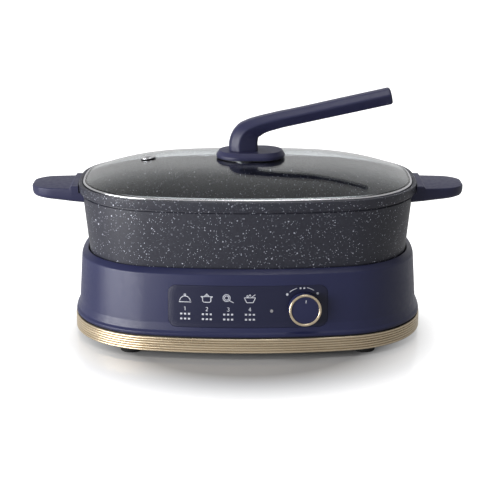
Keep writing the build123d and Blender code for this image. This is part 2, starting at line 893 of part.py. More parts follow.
clip_height = fuse_diameter / 2 + fuse_gap  # from the fuse's middle to the plate
fuse_z = plate_bottom - clip_height
fuse_plane = Plane(origin=(fuse_x - fuse_length / 2, 0, fuse_z), x_dir=(0, 1, 0), z_dir=(1, 0, 0))
with BuildPart() as thermal_fuse:
    with BuildSketch(fuse_plane) as fuse_body:
        Circle(fuse_diameter / 2)
    extrude(fuse_body.sketch, amount=fuse_length)
    with BuildSketch(fuse_plane.offset(-fuse_lead_reach)) as fuse_leads:
        Circle(fuse_lead / 2)
    extrude(fuse_leads.sketch, amount=fuse_length + 2 * fuse_lead_reach)
save(thermal_fuse, "thermal_fuse")

# A strap under the fuse with two straight legs and one foot against the plate.
clip_reach = fuse_diameter / 2 + clip_thick
clip_plane = fuse_plane.offset((fuse_length - clip_width) / 2)
with BuildPart() as fuse_clip:
    with BuildSketch(clip_plane) as clip_section:
        Circle(clip_reach)
        with Locations((0, clip_height / 2)):
            Rectangle(2 * clip_reach, clip_height)
        with Locations((clip_reach + (clip_foot - clip_thick) / 2, clip_height - clip_thick / 2)):
            Rectangle(clip_foot + clip_thick, clip_thick)
        Circle(fuse_diameter / 2, mode=Mode.SUBTRACT)
        with Locations((0, clip_reach / 2)):
            Rectangle(fuse_diameter, clip_reach, mode=Mode.SUBTRACT)
    extrude(clip_section.sketch, amount=clip_width)
save(fuse_clip, "fuse_clip")

# ---------------------------------------------------------------- pot
pot_outside = [(pot_bottom_grow, pot_bottom_height), (pot_wall_grow, pot_wall_top)]
band_outside = [(-pot_band_taper, pot_wall_top), (0.0, pot_top_height)]
pot_floor_height = pot_bottom_height + pot_floor_thick
pot_inside = [
    (pot_bottom_grow - pot_wall_thick, pot_floor_height),
    (ledge_inner_grow, ledge_height),
]
lug_top = handle_top_height - lug_drop
lug_bottom = lug_top - lug_thick
lug_reach = pot_end + pot_wall_grow + lug_length
handle_screw_x = lug_reach - handle_screw_inset

with BuildPart() as pot_cavity:
    plan_wall(pot_inside)
    floor_edges = pot_cavity.faces().sort_by(Axis.Z)[0].edges()
    fillet(floor_edges, pot_bottom_radius - pot_wall_thick)
    plan_slab(ledge_height, pot_top_height + overcut, -rim_fence)

with BuildPart() as pot_vessel:
    plan_wall(pot_outside)
    bottom_edges = pot_vessel.faces().sort_by(Axis.Z)[0].edges()
    fillet(bottom_edges, pot_bottom_radius)
    plan_wall(band_outside)
    top_edges = pot_vessel.faces().sort_by(Axis.Z)[-1].edges()
    fillet(top_edges, pot_edge)
    # Cast lugs at both ends, which the handles are screwed to.
    with BuildSketch(Plane.XY.offset(lug_bottom)) as lugs:
        with Locations((lug_reach / 2, 0), (-lug_reach / 2, 0)):
            Rectangle(lug_reach, lug_width)
    extrude(lugs.sketch, amount=lug_thick)
    add(pot_cavity.part, mode=Mode.SUBTRACT)
    with BuildSketch(Plane.XY.offset(lug_bottom)) as lug_threads:
        with GridLocations(2 * handle_screw_x, handle_screw_pitch, 2, 2):
            Circle(handle_screw / 2)
    extrude(lug_threads.sketch, amount=lug_thick, mode=Mode.SUBTRACT)
save(pot_vessel, "pot_vessel")

# ---------------------------------------------------------------- pot handles
handle_bottom = handle_top_height - handle_thick
handle_tip = pot_end + handle_reach
collar_outer_x = pot_end + handle_collar_length
collar_foot_x = collar_outer_x + handle_collar_slope
handle_root_x = pot_end - handle_root
handle_wall_x = pot_end + pot_wall_grow
root_bottom = handle_bottom - (handle_wall_x - handle_root_x) * handle_under_rise
tip_bottom = handle_bottom + (handle_tip + overcut - handle_wall_x) * handle_under_rise
with BuildPart() as handle_blank:
    with BuildSketch(Plane.XY.offset(root_bottom)) as tongue:
        with BuildLine():
            Polyline(
                (handle_root_x, -handle_width / 2),
                (collar_outer_x, -handle_width / 2),
                (handle_tip, -handle_tip_width / 2),
                (handle_tip, handle_tip_width / 2),
                (collar_outer_x, handle_width / 2),
                (handle_root_x, handle_width / 2),
                close=True,
            )
        make_face()
        tip_corners = tongue.vertices().group_by(Axis.X)[-1]
        fillet(tip_corners, handle_tip_radius)
    extrude(tongue.sketch, amount=handle_top_height - root_bottom)
    # The underside rises from the pot's wall to the tip.
    with BuildSketch(Plane.XZ.offset(-handle_width / 2)) as under_side:
        with BuildLine():
            Polyline(
                (handle_root_x, root_bottom),
                (handle_tip + overcut, tip_bottom),
                (handle_tip + overcut, root_bottom),
                close=True,
            )
        make_face()
    extrude(under_side.sketch, amount=handle_width, mode=Mode.SUBTRACT)
    # The collar rises towards the pot's rim.
    with BuildSketch(Plane.XZ.offset(-handle_width / 2)) as collar_side:
        with BuildLine():
            Polyline(
                (handle_root_x, handle_bottom + handle_thick / 2),
                (collar_foot_x, handle_bottom + handle_thick / 2),
                (collar_foot_x, handle_top_height),
                (collar_outer_x, handle_top_height + handle_collar_rise),
                (handle_root_x, handle_top_height + handle_collar_rise),
                close=True,
            )
        make_face()
    extrude(collar_side.sketch, amount=handle_width)
    low_edges = handle_blank.faces().sort_by(Axis.Z)[0].edges().sort_by(Axis.X)[1:]
    fillet(low_edges, handle_under_edge)

with BuildPart() as right_handle:
    add(handle_blank.part)
    plan_slab(pot_wall_top - handle_gap, pot_top_height, handle_gap, mode=Mode.SUBTRACT)
    plan_wall(
        [(grow + handle_seat_gap, height) for grow, height in pot_outside], mode=Mode.SUBTRACT
    )
    with BuildSketch(Plane.XY.offset(lug_bottom - fit_gap)) as lug_slot:
        with Locations((lug_reach / 2, 0)):
            Rectangle(lug_reach + 2 * fit_gap, lug_width + 2 * fit_gap)
    extrude(lug_slot.sketch, amount=lug_thick + 2 * fit_gap, mode=Mode.SUBTRACT)
    with BuildSketch(Plane.XY.offset(handle_bottom)) as screw_holes:
        with Locations((handle_screw_x, 0)):
            with GridLocations(1, handle_screw_pitch, 1, 2):
                Circle(handle_screw / 2)
    extrude(screw_holes.sketch, amount=lug_bottom - handle_bottom, mode=Mode.SUBTRACT)
    with BuildSketch(Plane.XY.offset(handle_bottom)) as screw_sinks:
        with Locations((handle_screw_x, 0)):
            with GridLocations(1, handle_screw_pitch, 1, 2):
                Circle(handle_screw_head / 2)
    extrude(screw_sinks.sketch, amount=handle_screw_sink, mode=Mode.SUBTRACT)
save(right_handle, "right_handle")

with BuildPart() as left_handle:
    add(mirror(right_handle.part, about=Plane.YZ))
save(left_handle, "left_handle")

handle_screws = screw_group(
    GridLocations(2 * handle_screw_x, handle_screw_pitch, 2, 2),
    Plane.XY.offset(handle_bottom + handle_screw_sink - handle_screw_head_height),
    handle_screw,
    lug_top - handle_bottom - handle_screw_sink + handle_screw_head_height - 2 * fit_gap,
    handle_screw_head,
    handle_screw_head_height,
)
save(handle_screws, "handle_screws")

# ---------------------------------------------------------------- glass lid
rim_outer_grow = -rim_fence - lid_rim_gap
rim_bottom = ledge_height + body_gap
glass_bottom = rim_bottom + rim_sheet
glass_top = glass_bottom + glass_thick
rim_top = glass_top + rim_sheet
glass_edge_grow = rim_outer_grow - rim_sheet
skirt_grow = ledge_inner_grow - rim_skirt_gap
lip_inside_grow = rim_outer_grow - rim_sheet - rim_lip
dome_edge_grow = glass_edge_grow - glass_rim
dome_half_length = pot_end + dome_edge_grow
dome_shares = (1.0, 0.93, 0.84, 0.73, 0.6, 0.45, 0.32, dome_flat_share)


def dome_height(share):
    """Rise of the dome over its flat margin, at a share of its outline."""
    return dome_rise * (1 - share**dome_power)


def dome_solid(base, mode=Mode.ADD):
    """Add or cut the dome over its own outline, standing on the height given."""
    sections = []
    for share in dome_shares:
        with BuildSketch(Plane.XY.offset(base + dome_height(share))) as section:
            plan_face(dome_edge_grow, share)
        sections.append(section.sketch)
    loft(sections, mode=mode)


vent_share = hypot(vent_x / dome_half_length, vent_y / (pot_front + dome_edge_grow))
vent_slope = dome_rise * dome_power * vent_share ** (dome_power - 1) / dome_half_length
vent_seat = Plane(
    origin=(vent_x, vent_y, glass_top + dome_height(vent_share) + fit_gap),
    x_dir=(1, 0, vent_slope),
    z_dir=(-vent_slope, 0, 1),
)

with BuildPart() as lid_glass:
    plan_slab(glass_bottom, glass_top, glass_edge_grow)
    dome_solid(glass_top)
    plan_slab(glass_bottom - overcut, glass_bottom, dome_edge_grow, mode=Mode.SUBTRACT)
    dome_solid(glass_bottom, mode=Mode.SUBTRACT)
    with BuildSketch(vent_seat.offset(-3 * glass_thick)) as vent_bore:
        Circle(grommet_diameter / 2)
    extrude(vent_bore.sketch, amount=6 * glass_thick, mode=Mode.SUBTRACT)
    with BuildSketch(Plane.XY.offset(glass_bottom)) as screw_bore:
        with Locations((post_x, 0)):
            Circle(lid_screw_hole / 2)
    extrude(screw_bore.sketch, amount=dome_rise + 2 * glass_thick, mode=Mode.SUBTRACT)
save(lid_glass, "lid_glass")

with BuildPart() as lid_rim:
    plan_slab(rim_bottom, rim_top, rim_outer_grow)
    rim_edges = lid_rim.faces().sort_by(Axis.Z)[-1].edges()
    fillet(rim_edges, rim_edge)
    plan_slab(ledge_height - rim_skirt, rim_bottom, skirt_grow)
    plan_slab(glass_bottom, glass_top, glass_edge_grow, mode=Mode.SUBTRACT)
    plan_slab(glass_top, rim_top + overcut, lip_inside_grow, mode=Mode.SUBTRACT)
    plan_slab(
        ledge_height - rim_skirt - overcut,
        glass_bottom + fit_gap / 2,
        skirt_grow - rim_sheet,
        mode=Mode.SUBTRACT,
    )
save(lid_rim, "lid_rim")

eyelet_outer = grommet_diameter / 2 - grommet_wall
with BuildPart() as vent_grommet:
    with BuildSketch(vent_seat) as grommet_flange:
        Circle(vent_flange / 2 - grommet_flange_in)
    extrude(grommet_flange.sketch, amount=grommet_flange_thick)
    with BuildSketch(vent_seat.offset(-glass_thick - grommet_neck_out)) as grommet_neck:
        Circle(grommet_diameter / 2)
    extrude(grommet_neck.sketch, amount=glass_thick + grommet_neck_out + fit_gap)
    with BuildSketch(vent_seat.offset(-2 * glass_thick)) as grommet_bore:
        Circle(eyelet_outer)
    extrude(grommet_bore.sketch, amount=4 * glass_thick, mode=Mode.SUBTRACT)
save(vent_grommet, "vent_grommet")

with BuildPart() as steam_vent:
    with BuildSketch(vent_seat.offset(grommet_flange_thick)) as eyelet_flange:
        Circle(vent_flange / 2)
    extrude(eyelet_flange.sketch, amount=eyelet_flange_thick)
    flange_edge = steam_vent.edges().filter_by(GeomType.CIRCLE).sort_by(Axis.Z)[-1:]
    fillet(flange_edge, eyelet_edge)
    with BuildSketch(vent_seat.offset(-glass_thick - eyelet_tube_out)) as eyelet_tube:
        Circle(eyelet_outer)
    extrude(eyelet_tube.sketch, amount=glass_thick + eyelet_tube_out + grommet_flange_thick)
    with BuildSketch(vent_seat.offset(-2 * glass_thick)) as eyelet_bore:
        Circle(vent_hole / 2)
    extrude(eyelet_bore.sketch, amount=4 * glass_thick, mode=Mode.SUBTRACT)
save(steam_vent, "steam_vent")

# ---------------------------------------------------------------- lid handle
dome_top = glass_top + dome_height(dome_flat_share)
mount_bottom = dome_top + gasket_thick
mount_top = mount_bottom + mount_height
gasket_margin = 2.5

with BuildPart() as handle_gasket:
    with BuildSketch(Plane.XY.offset(dome_top)) as gasket_shape:
        with Locations((mount_x, 0)):
            SlotOverall(mount_length - 2 * gasket_margin, mount_width - 2 * gasket_margin)
        with Locations((post_x, 0)):
            Circle(lid_screw_hole / 2, mode=Mode.SUBTRACT)
    extrude(gasket_shape.sketch, amount=gasket_thick)
save(handle_gasket, "handle_gasket")

with BuildPart() as handle_mount:
    with BuildSketch(Plane.XY.offset(mount_bottom)) as mount_shape:
        with Locations((mount_x, 0)):
            SlotOverall(mount_length, mount_width)
    extrude(mount_shape.sketch, amount=mount_height)
    mount_rim = handle_mount.faces().sort_by(Axis.Z)[-1].edges()
    chamfer(mount_rim, mount_edge_drop, mount_edge_in)
    with BuildSketch(Plane.XY.offset(mount_bottom)) as mount_bore:
        with Locations((post_x, 0)):
            Circle(mount_screw_hole / 2)
    extrude(mount_bore.sketch, amount=mount_height, mode=Mode.SUBTRACT)
save(handle_mount, "handle_mount")

# Sections of the handle from its foot to its tip: where the middle of each one is,
# how steeply the handle climbs there, and the section's thickness and width.
arm_slope = tan(radians(arm_angle))
arm_start_z = mount_top + arm_start_rise
arm_tip_z = arm_start_z + (arm_tip_x - arm_start_x) * arm_slope
handle_bend = [  # x from the post's middle, height over the mount, climb, thickness, width
    (0.0, 0.0, 90.0, 28.4, 27.0),
    (0.0, 8.8, 89.0, 28.0, 26.4),
    (0.8, 11.9, 82.3, 27.2, 26.1),
    (1.95, 14.8, 73.0, 26.0, 25.7),
    (3.5, 17.4, 64.0, 24.5, 25.4),
    (5.3, 19.4, 57.0, 23.0, 25.2),
    (7.6, 21.0, 50.5, 21.6, 25.0),
    (10.1, 22.1, 44.0, 20.3, 24.8),
    (13.5, 23.6, 36.0, 18.6, 24.6),
    (17.1, 25.0, 28.6, 17.2, 24.5),
    (20.8, 26.2, 23.4, 16.5, 24.4),
    (29.0, 28.4, 17.4, 15.8, 24.2),
    (37.3, 30.5, 14.1, 15.4, 24.1),
]
handle_sections = [
    ((post_x + forward, mount_top + rise), climb, thick, wide)
    for forward, rise, climb, thick, wide in handle_bend
]
handle_sections += [
    ((arm_start_x, arm_start_z), arm_angle, *arm_start_size),
    ((arm_tip_x, arm_tip_z), arm_angle, *arm_tip_size),
]
ridge_share = 0.15  # the widest line lies this far over the middle
crown_share = 0.5  # width of the flat crown
keel_share = 0.52  # width of the underside
crown_radius = 0.28  # the corners' radii, as shares of the thickness
ridge_radius = 0.05
keel_radius = 0.15
level_slack = 0.01


def handle_section(middle, climb, thick, wide):
    """Six-sided soft section, square to the handle: local X is across, local Y is outwards."""
    x, z = middle
    tangent = (cos(radians(climb)), 0, sin(radians(climb)))
    top = thick / 2
    ridge = thick * ridge_share
    with BuildSketch(Plane(origin=(x, 0, z), x_dir=(0, 1, 0), z_dir=tangent)) as section:
        with BuildLine() as edge:
            Polyline(
                (-wide * crown_share / 2, top),
                (wide * crown_share / 2, top),
                (wide / 2, ridge),
                (wide * keel_share / 2, -top),
                (-wide * keel_share / 2, -top),
                (-wide / 2, ridge),
                close=True,
            )
        make_face(edge.edges())
        for level, softness in ((top, crown_radius), (ridge, ridge_radius), (-top, keel_radius)):
            corners = [spot for spot in section.vertices() if abs(spot.Y - level) < level_slack]
            fillet(corners, softness * thick)
    return section.sketch


# The tip is rounded by sections that close in along a quarter circle.
tip_thick, tip_wide = arm_tip_size
tip_sections = []
for turn in (0, 25, 50, 75):
    reach = tip_radius * sin(radians(turn))
    inset = tip_radius * (1 - cos(radians(turn)))
    middle = (
        arm_tip_x + reach * cos(radians(arm_angle)), arm_tip_z + reach * sin(radians(arm_angle))
    )
    tip_sections.append(
        handle_section(middle, arm_angle, tip_thick - 2 * inset, tip_wide - 2 * inset)
    )

with BuildPart() as lid_handle:
    loft([handle_section(*section) for section in handle_sections], ruled=True)
    loft(tip_sections, ruled=True)
    with BuildSketch(Plane.XY.offset(mount_top)) as insert_bore:
        with Locations((post_x, 0)):
            Circle(insert_diameter / 2)
    extrude(insert_bore.sketch, amount=insert_length, mode=Mode.SUBTRACT)
save(lid_handle, "lid_handle")

with BuildPart() as handle_insert:
    with BuildSketch(Plane.XY.offset(mount_top)) as insert_shape:
        with Locations((post_x, 0)):
            Circle(insert_diameter / 2)
            Circle(lid_screw / 2, mode=Mode.SUBTRACT)
    extrude(insert_shape.sketch, amount=insert_length)
save(handle_insert, "handle_insert")

washer_top = glass_bottom + dome_height(dome_flat_share)
with BuildPart() as inner_washer:
    with BuildSketch(Plane.XY.offset(washer_top - washer_thick)) as washer_shape:
        with Locations((post_x, 0)):
            Circle(washer_diameter / 2)
            Circle(lid_screw / 2, mode=Mode.SUBTRACT)
    extrude(washer_shape.sketch, amount=washer_thick)
save(inner_washer, "inner_washer")

lid_handle_screw = screw_group(
    Locations((post_x, 0)),
    Plane.XY.offset(washer_top - washer_thick - lid_screw_head_height),
    lid_screw,
    mount_top + insert_length * thread_share - washer_top + washer_thick + lid_screw_head_height,
    lid_screw_head,
    lid_screw_head_height,
)
save(lid_handle_screw, "lid_handle_screw")

# ---------------------------------------------------------------- control panel
with BuildPart() as control_panel:
    panel_prism(panel_gap, Mode.ADD)
    plan_wall([(grow + panel_proud, height) for grow, height in wall_outside], mode=Mode.INTERSECT)
    plan_wall([(grow - panel_thick, height) for grow, height in wall_outside], mode=Mode.SUBTRACT)
    with BuildSketch(knob_seat.offset(-2 * housing_wall)) as panel_bushing_hole:
        Circle(bushing_diameter / 2)
    extrude(panel_bushing_hole.sketch, amount=4 * housing_wall, mode=Mode.SUBTRACT)
    with BuildSketch(front_sketch_plane(lamp_x, lamp_z, board_face_y)) as panel_lamp_hole:
        Circle(lamp_diameter / 2)
    extrude(panel_lamp_hole.sketch, amount=pot_front, mode=Mode.SUBTRACT)
save(control_panel, "control_panel")

with BuildPart() as power_lamp:
    with BuildSketch(front_sketch_plane(lamp_x, lamp_z, board_face_y)) as lamp_shape:
        Circle(lamp_diameter / 2)
    extrude(lamp_shape.sketch, amount=pot_front)
    plan_wall([(grow + panel_proud, height) for grow, height in wall_outside], mode=Mode.INTERSECT)
save(power_lamp, "power_lamp")

with BuildPart() as control_board:
    with BuildSketch(board_plane) as board_shape:
        Rectangle(board_right - board_left, board_top - board_bottom)
        with board_places:
            Circle(board_screw / 2, mode=Mode.SUBTRACT)
        # The knob's control passes through a notch in the top edge.
        with Locations((knob_x - board_middle_x, board_top - board_middle_z)):
            Rectangle(board_notch[0], 2 * board_notch[1], mode=Mode.SUBTRACT)
    extrude(board_shape.sketch, amount=-board_thick)
save(control_board, "control_board")

# ---------------------------------------------------------------- knob and its control
control_face = -housing_wall - fit_gap
bushing_top = panel_proud + nut_thick + bushing_proud
shaft_foot = control_face - shaft_depth
ring_bottom = knob_height - knob_ring_height
face_height = knob_height - knob_face_sink
ring_inner_radius = knob_diameter / 2 - knob_ring_width
knob_radius = knob_diameter / 2 - knob_ring_step
hub_bottom = bushing_top + knob_hub_gap
hub_top = face_height - knob_wall
shaft_radius = shaft_diameter / 2

with BuildPart() as rotary_control:
    with BuildSketch(knob_seat.offset(control_face - control_depth)) as control_shape:
        Circle(control_diameter / 2)
    extrude(control_shape.sketch, amount=control_depth)
    with BuildSketch(knob_seat.offset(control_face)) as bushing_shape:
        Circle(bushing_diameter / 2)
    extrude(bushing_shape.sketch, amount=bushing_top - control_face)
    with BuildSketch(knob_seat.offset(shaft_foot - body_gap)) as control_bore:
        Circle(shaft_radius + shaft_gap)
    extrude(control_bore.sketch, amount=bushing_top - shaft_foot + overcut, mode=Mode.SUBTRACT)
save(rotary_control, "rotary_control")

with BuildPart() as control_nut:
    with BuildSketch(knob_seat.offset(panel_proud + fit_gap / 2)) as nut_shape:
        RegularPolygon(nut_flats / 2, 6, major_radius=False)
        Circle(bushing_diameter / 2, mode=Mode.SUBTRACT)
    extrude(nut_shape.sketch, amount=nut_thick)
save(control_nut, "control_nut")

with BuildPart() as control_shaft:
    with BuildSketch(knob_seat.offset(shaft_foot)) as shaft_shape:
        Circle(shaft_radius)
    extrude(shaft_shape.sketch, amount=hub_top - shaft_foot)
    with BuildSketch(knob_seat.offset(hub_bottom)) as shaft_flat:
        with Locations((0, shaft_flat_height + shaft_radius)):
            Rectangle(shaft_diameter, shaft_diameter)
    extrude(shaft_flat.sketch, amount=hub_top - hub_bottom, mode=Mode.SUBTRACT)
save(control_shaft, "control_shaft")

pointer_turn = -5.0  # degrees from straight up, as the knob stands at rest
pointer_centre = 8.4
pointer_size = (0.8, 2.8)
pointer_sink = 0.6
pointer_proud = 0.05
pointer_place = (
    -pointer_centre * sin(radians(pointer_turn)),
    pointer_centre * cos(radians(pointer_turn)),
)

with BuildPart() as knob_pointer:
    with BuildSketch(knob_seat.offset(face_height - pointer_sink)) as pointer_shape:
        with Locations(pointer_place):
            SlotOverall(pointer_size[1], pointer_size[0], rotation=90 + pointer_turn)
    extrude(pointer_shape.sketch, amount=pointer_sink + pointer_proud)
save(knob_pointer, "knob_pointer")

with BuildPart() as knob_body:
    with BuildSketch(knob_seat.offset(knob_lift)) as skirt_shape:
        Circle(knob_radius)
    extrude(skirt_shape.sketch, amount=ring_bottom - knob_lift)
    with BuildSketch(knob_seat.offset(ring_bottom)) as face_shape:
        Circle(ring_inner_radius)
    extrude(face_shape.sketch, amount=face_height - ring_bottom)
    with BuildSketch(knob_seat.offset(knob_lift)) as hollow_shape:
        Circle(knob_radius - knob_wall)
    extrude(hollow_shape.sketch, amount=face_height - knob_roof - knob_lift, mode=Mode.SUBTRACT)
    with BuildSketch(knob_seat.offset(hub_bottom)) as hub_shape:
        Circle(shaft_radius + knob_wall)
    extrude(hub_shape.sketch, amount=hub_top - hub_bottom)
    add(control_shaft.part, mode=Mode.SUBTRACT)
    add(knob_pointer.part, mode=Mode.SUBTRACT)
save(knob_body, "knob_body")

with BuildPart() as knob_ring:
    with BuildSketch(knob_seat.offset(ring_bottom)) as ring_shape:
        Circle(knob_diameter / 2)
        Circle(ring_inner_radius, mode=Mode.SUBTRACT)
    extrude(ring_shape.sketch, amount=knob_ring_height)
    ring_face = knob_ring.faces().filter_by(GeomType.PLANE).sort_by(
        lambda face: (face.center() - knob_seat.origin).dot(knob_seat.z_dir)
    )[-1]
    fillet(ring_face.edges(), knob_ring_edge)
save(knob_ring, "knob_ring")

# ---------------------------------------------------------------- power inlet
inlet_depth = inlet_back + inlet_recess
flange_start = inlet_inner_y - inlet_boss_depth - inlet_flange_thick - inlet_rear_y
pin_places = Locations(
    (-inlet_pin_pitch / 2, -inlet_pin_drop),
    (inlet_pin_pitch / 2, -inlet_pin_drop),
    (0, inlet_earth_rise),
)

with BuildPart() as power_inlet:
    with BuildSketch(inlet_plane) as shroud:
        RectangleRounded(inlet_length, inlet_height, inlet_corner)
    extrude(shroud.sketch, amount=inlet_depth)
    mouth_edges = power_inlet.faces().sort_by(Axis.Y)[-1].edges()
    fillet(mouth_edges, inlet_edge)
    with BuildSketch(inlet_plane.offset(flange_start)) as flange:
        RectangleRounded(inlet_flange, inlet_flange_height, inlet_screw)
        with inlet_places:
            Circle(inlet_screw / 2, mode=Mode.SUBTRACT)
    extrude(flange.sketch, amount=inlet_flange_thick)
    with BuildSketch(inlet_plane.offset(inlet_back)) as recess:
        RectangleRounded(
            inlet_length - 2 * inlet_wall, inlet_height - 2 * inlet_wall, inlet_corner - inlet_wall
        )
    extrude(recess.sketch, amount=inlet_recess, mode=Mode.SUBTRACT)
    with BuildSketch(inlet_plane) as pin_holes:
        with pin_places:
            Circle(inlet_pin / 2)
    extrude(pin_holes.sketch, amount=inlet_back, mode=Mode.SUBTRACT)
save(power_inlet, "power_inlet")

with BuildPart() as inlet_pins:
    with BuildSketch(inlet_plane.offset(-inlet_tab_reach)) as pin_shapes:
        with pin_places:
            Circle(inlet_pin / 2)
    extrude(pin_shapes.sketch, amount=inlet_tab_reach + inlet_back + inlet_pin_reach)
    pin_tips = inlet_pins.faces().filter_by(Plane.XZ).group_by(Axis.Y)[-1].edges()
    chamfer(pin_tips, inlet_pin_edge)
save(inlet_pins, "inlet_pins")

inlet_screws = screw_group(
    inlet_places,
    inlet_plane.offset(flange_start - inlet_screw_head_height),
    inlet_screw,
    inlet_screw_head_height + inlet_flange_thick + inlet_boss_depth * thread_share,
    inlet_screw_head,
    inlet_screw_head_height,
)
save(inlet_screws, "inlet_screws")

# ---------------------------------------------------------------- power board and wiring
power_board_top = power_board_height + board_thick
with BuildPart() as power_board:
    with BuildSketch(power_board_plane.offset(power_board_height)) as power_board_shape:
        Rectangle(*power_board_size)
        with power_board_places:
            Circle(board_screw / 2, mode=Mode.SUBTRACT)
    extrude(power_board_shape.sketch, amount=board_thick)
save(power_board, "power_board")

relay_length, relay_width, relay_height = relay_size
block_length, block_width, block_height = block_size
relay_top = power_board_top + relay_height
block_top = power_board_top + block_height
block_pitch = block_length / 4

with BuildPart() as relay:
    with BuildSketch(power_board_plane.offset(power_board_top)) as relay_shape:
        with Locations((relay_x, 0)):
            RectangleRounded(relay_length, relay_width, relay_corner)
    extrude(relay_shape.sketch, amount=relay_height)
    chamfer(relay.faces().sort_by(Axis.Z)[-1].edges(), relay_edge)
save(relay, "relay")

with BuildPart() as terminal_block:
    with BuildSketch(power_board_plane.offset(power_board_top)) as block_shape:
        with Locations((block_x, 0)):
            Rectangle(block_length, block_width)
    extrude(block_shape.sketch, amount=block_height)
    with BuildSketch(power_board_plane.offset(block_top - block_well_depth)) as clamp_wells:
        with Locations((block_x, -block_width / 3)):
            with GridLocations(block_pitch, 1, 3, 1):
                Circle(block_well / 2)
    extrude(clamp_wells.sketch, amount=block_well_depth, mode=Mode.SUBTRACT)
save(terminal_block, "terminal_block")

with BuildPart() as board_screws:
    add(
        screw_group(
            board_places,
            Plane(
                origin=board_plane.origin + Vector(0, board_thick + board_screw_head_height, 0),
                x_dir=(1, 0, 0),
                z_dir=(0, -1, 0),
            ),
            board_screw,
            board_thick + board_screw_head_height + board_screw_length * thread_share,
            board_screw_head,
            board_screw_head_height,
        ).part
    )
    add(
        screw_group(
            power_board_places,
            Plane(
                origin=(0, power_board_y, power_board_top + board_screw_head_height),
                x_dir=(1, 0, 0),
                z_dir=(0, 0, -1),
            ),
            board_screw,
            board_thick
            + board_screw_head_height
            + (power_board_height - cover_top) * thread_share,
            board_screw_head,
            board_screw_head_height,
        ).part
    )
save(board_screws, "board_screws")

tab_y = inlet_rear_y - inlet_tab_reach
pin_z = inlet_z - inlet_pin_drop
earth_z = inlet_z + inlet_earth_rise


def board_wire(pin_x, block_spot_x):
    """Wire from the end of an inlet pin down into the terminal block."""
    return rod(
        [
            (pin_x, tab_y, pin_z),
            (pin_x, tab_y - wire_lead_out, pin_z),
            (block_spot_x, power_board_y, pin_z - wire_sag),
            (block_spot_x, power_board_y, block_top),
        ],
        [wire_bend, wire_bend],
        wire_diameter,
    )


save(board_wire(-inlet_pin_pitch / 2, block_x), "wire_live")
save(board_wire(inlet_pin_pitch / 2, block_x + block_pitch), "wire_neutral")

earth_wire_z = plate_bottom - wire_diameter / 2 - earth_wire_gap
with BuildPart() as earth_screw:
    with BuildSketch(Plane.XY.offset(plate_bottom - earth_head_height)) as earth_head_shape:
        with Locations((0, earth_screw_y)):
            Circle(earth_head / 2)
    extrude(earth_head_shape.sketch, amount=earth_head_height)
    with BuildSketch(Plane.XY.offset(plate_bottom)) as earth_thread:
        with Locations((0, earth_screw_y)):
            Circle(post_screw / 2)
    extrude(earth_thread.sketch, amount=plate_tap)
save(earth_screw, "earth_screw")

wire_earth = rod(
    [
        (0, tab_y, earth_z),
        (0, tab_y - earth_lead_out, earth_z),
        (0, tab_y - earth_lead_out - wire_lead_out, earth_wire_z),
        (0, earth_screw_y + earth_head / 2, earth_wire_z),
    ],
    [wire_bend, wire_bend],
    wire_diameter,
)
save(wire_earth, "wire_earth")

lead_y = element_end_y + terminal_reach / 2
lead_x = element_leg_x + terminal_width / 2
with BuildPart() as element_leads:
    for side, foot_x, foot_z in (
        (-1, block_x - block_pitch, block_top),
        (1, relay_x, relay_top),
    ):
        lead = rod(
            [
                (side * lead_x, lead_y, element_z),
                (side * (lead_x + lead_side_out), lead_y, element_z),
                (foot_x, lead_y - wire_lead_out, element_z - lead_drop),
                (foot_x, power_board_y, element_z - lead_drop - lead_sag),
                (foot_x, power_board_y, foot_z),
            ],
            [wire_bend] * 3,
            wire_diameter,
        )
        add(lead.part)
save(element_leads, "element_leads")
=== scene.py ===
# %% [markdown]
# # An electric hot pot in cells
# Three things come apart: an oval heating base, a coated pot and a glass lid with a long bent
# handle. The solids arrive as a frame that is never moved. Each cell below dresses one piece of
# it, or makes one finish. Lengths are in millimetres until they reach a mesh.

# %% Load the frame
import json

import bpy
import bmesh
import numpy as np
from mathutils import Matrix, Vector
from numpy import cos, hypot, linspace, pi, radians, sin


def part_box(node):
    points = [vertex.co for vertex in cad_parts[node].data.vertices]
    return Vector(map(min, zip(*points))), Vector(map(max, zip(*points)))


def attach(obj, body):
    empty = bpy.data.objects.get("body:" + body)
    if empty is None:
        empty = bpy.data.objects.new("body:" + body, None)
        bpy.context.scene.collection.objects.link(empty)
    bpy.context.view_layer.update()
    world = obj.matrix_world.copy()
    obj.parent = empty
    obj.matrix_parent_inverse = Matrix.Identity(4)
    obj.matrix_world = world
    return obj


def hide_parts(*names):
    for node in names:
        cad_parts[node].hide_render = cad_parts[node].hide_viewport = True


scene = bpy.context.scene
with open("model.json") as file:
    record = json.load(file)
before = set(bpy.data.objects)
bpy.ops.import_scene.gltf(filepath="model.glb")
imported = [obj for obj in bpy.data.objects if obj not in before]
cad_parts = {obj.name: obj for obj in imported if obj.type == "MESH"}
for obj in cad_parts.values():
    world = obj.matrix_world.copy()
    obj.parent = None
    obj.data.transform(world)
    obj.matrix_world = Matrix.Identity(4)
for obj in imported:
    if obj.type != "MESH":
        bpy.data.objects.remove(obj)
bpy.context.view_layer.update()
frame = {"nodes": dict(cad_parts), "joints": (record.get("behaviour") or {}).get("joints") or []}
nodes = frame["nodes"]
MM = 0.001
print("solids in the frame:", len(nodes))


# %% Boxes of the solids
def corners_of(node):
    """Low and high corner of a solid's box, in millimetres."""
    return [np.array(corner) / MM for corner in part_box(node)]


def heights_of(node):
    """Lowest and highest level of a solid, in millimetres."""
    return [corner[2] for corner in corners_of(node)]


# %% [markdown]
# ## One outline for nearly everything
# Seen from above, the base, the pot and the lid share one outline of eight arcs: two flat long
# sides, two rounder ends and four tight corners. Moving its points along their normals gives a
# parallel outline. So both are worked out once, and every wall is a short table of how far it
# stands out (its grow) and how high.

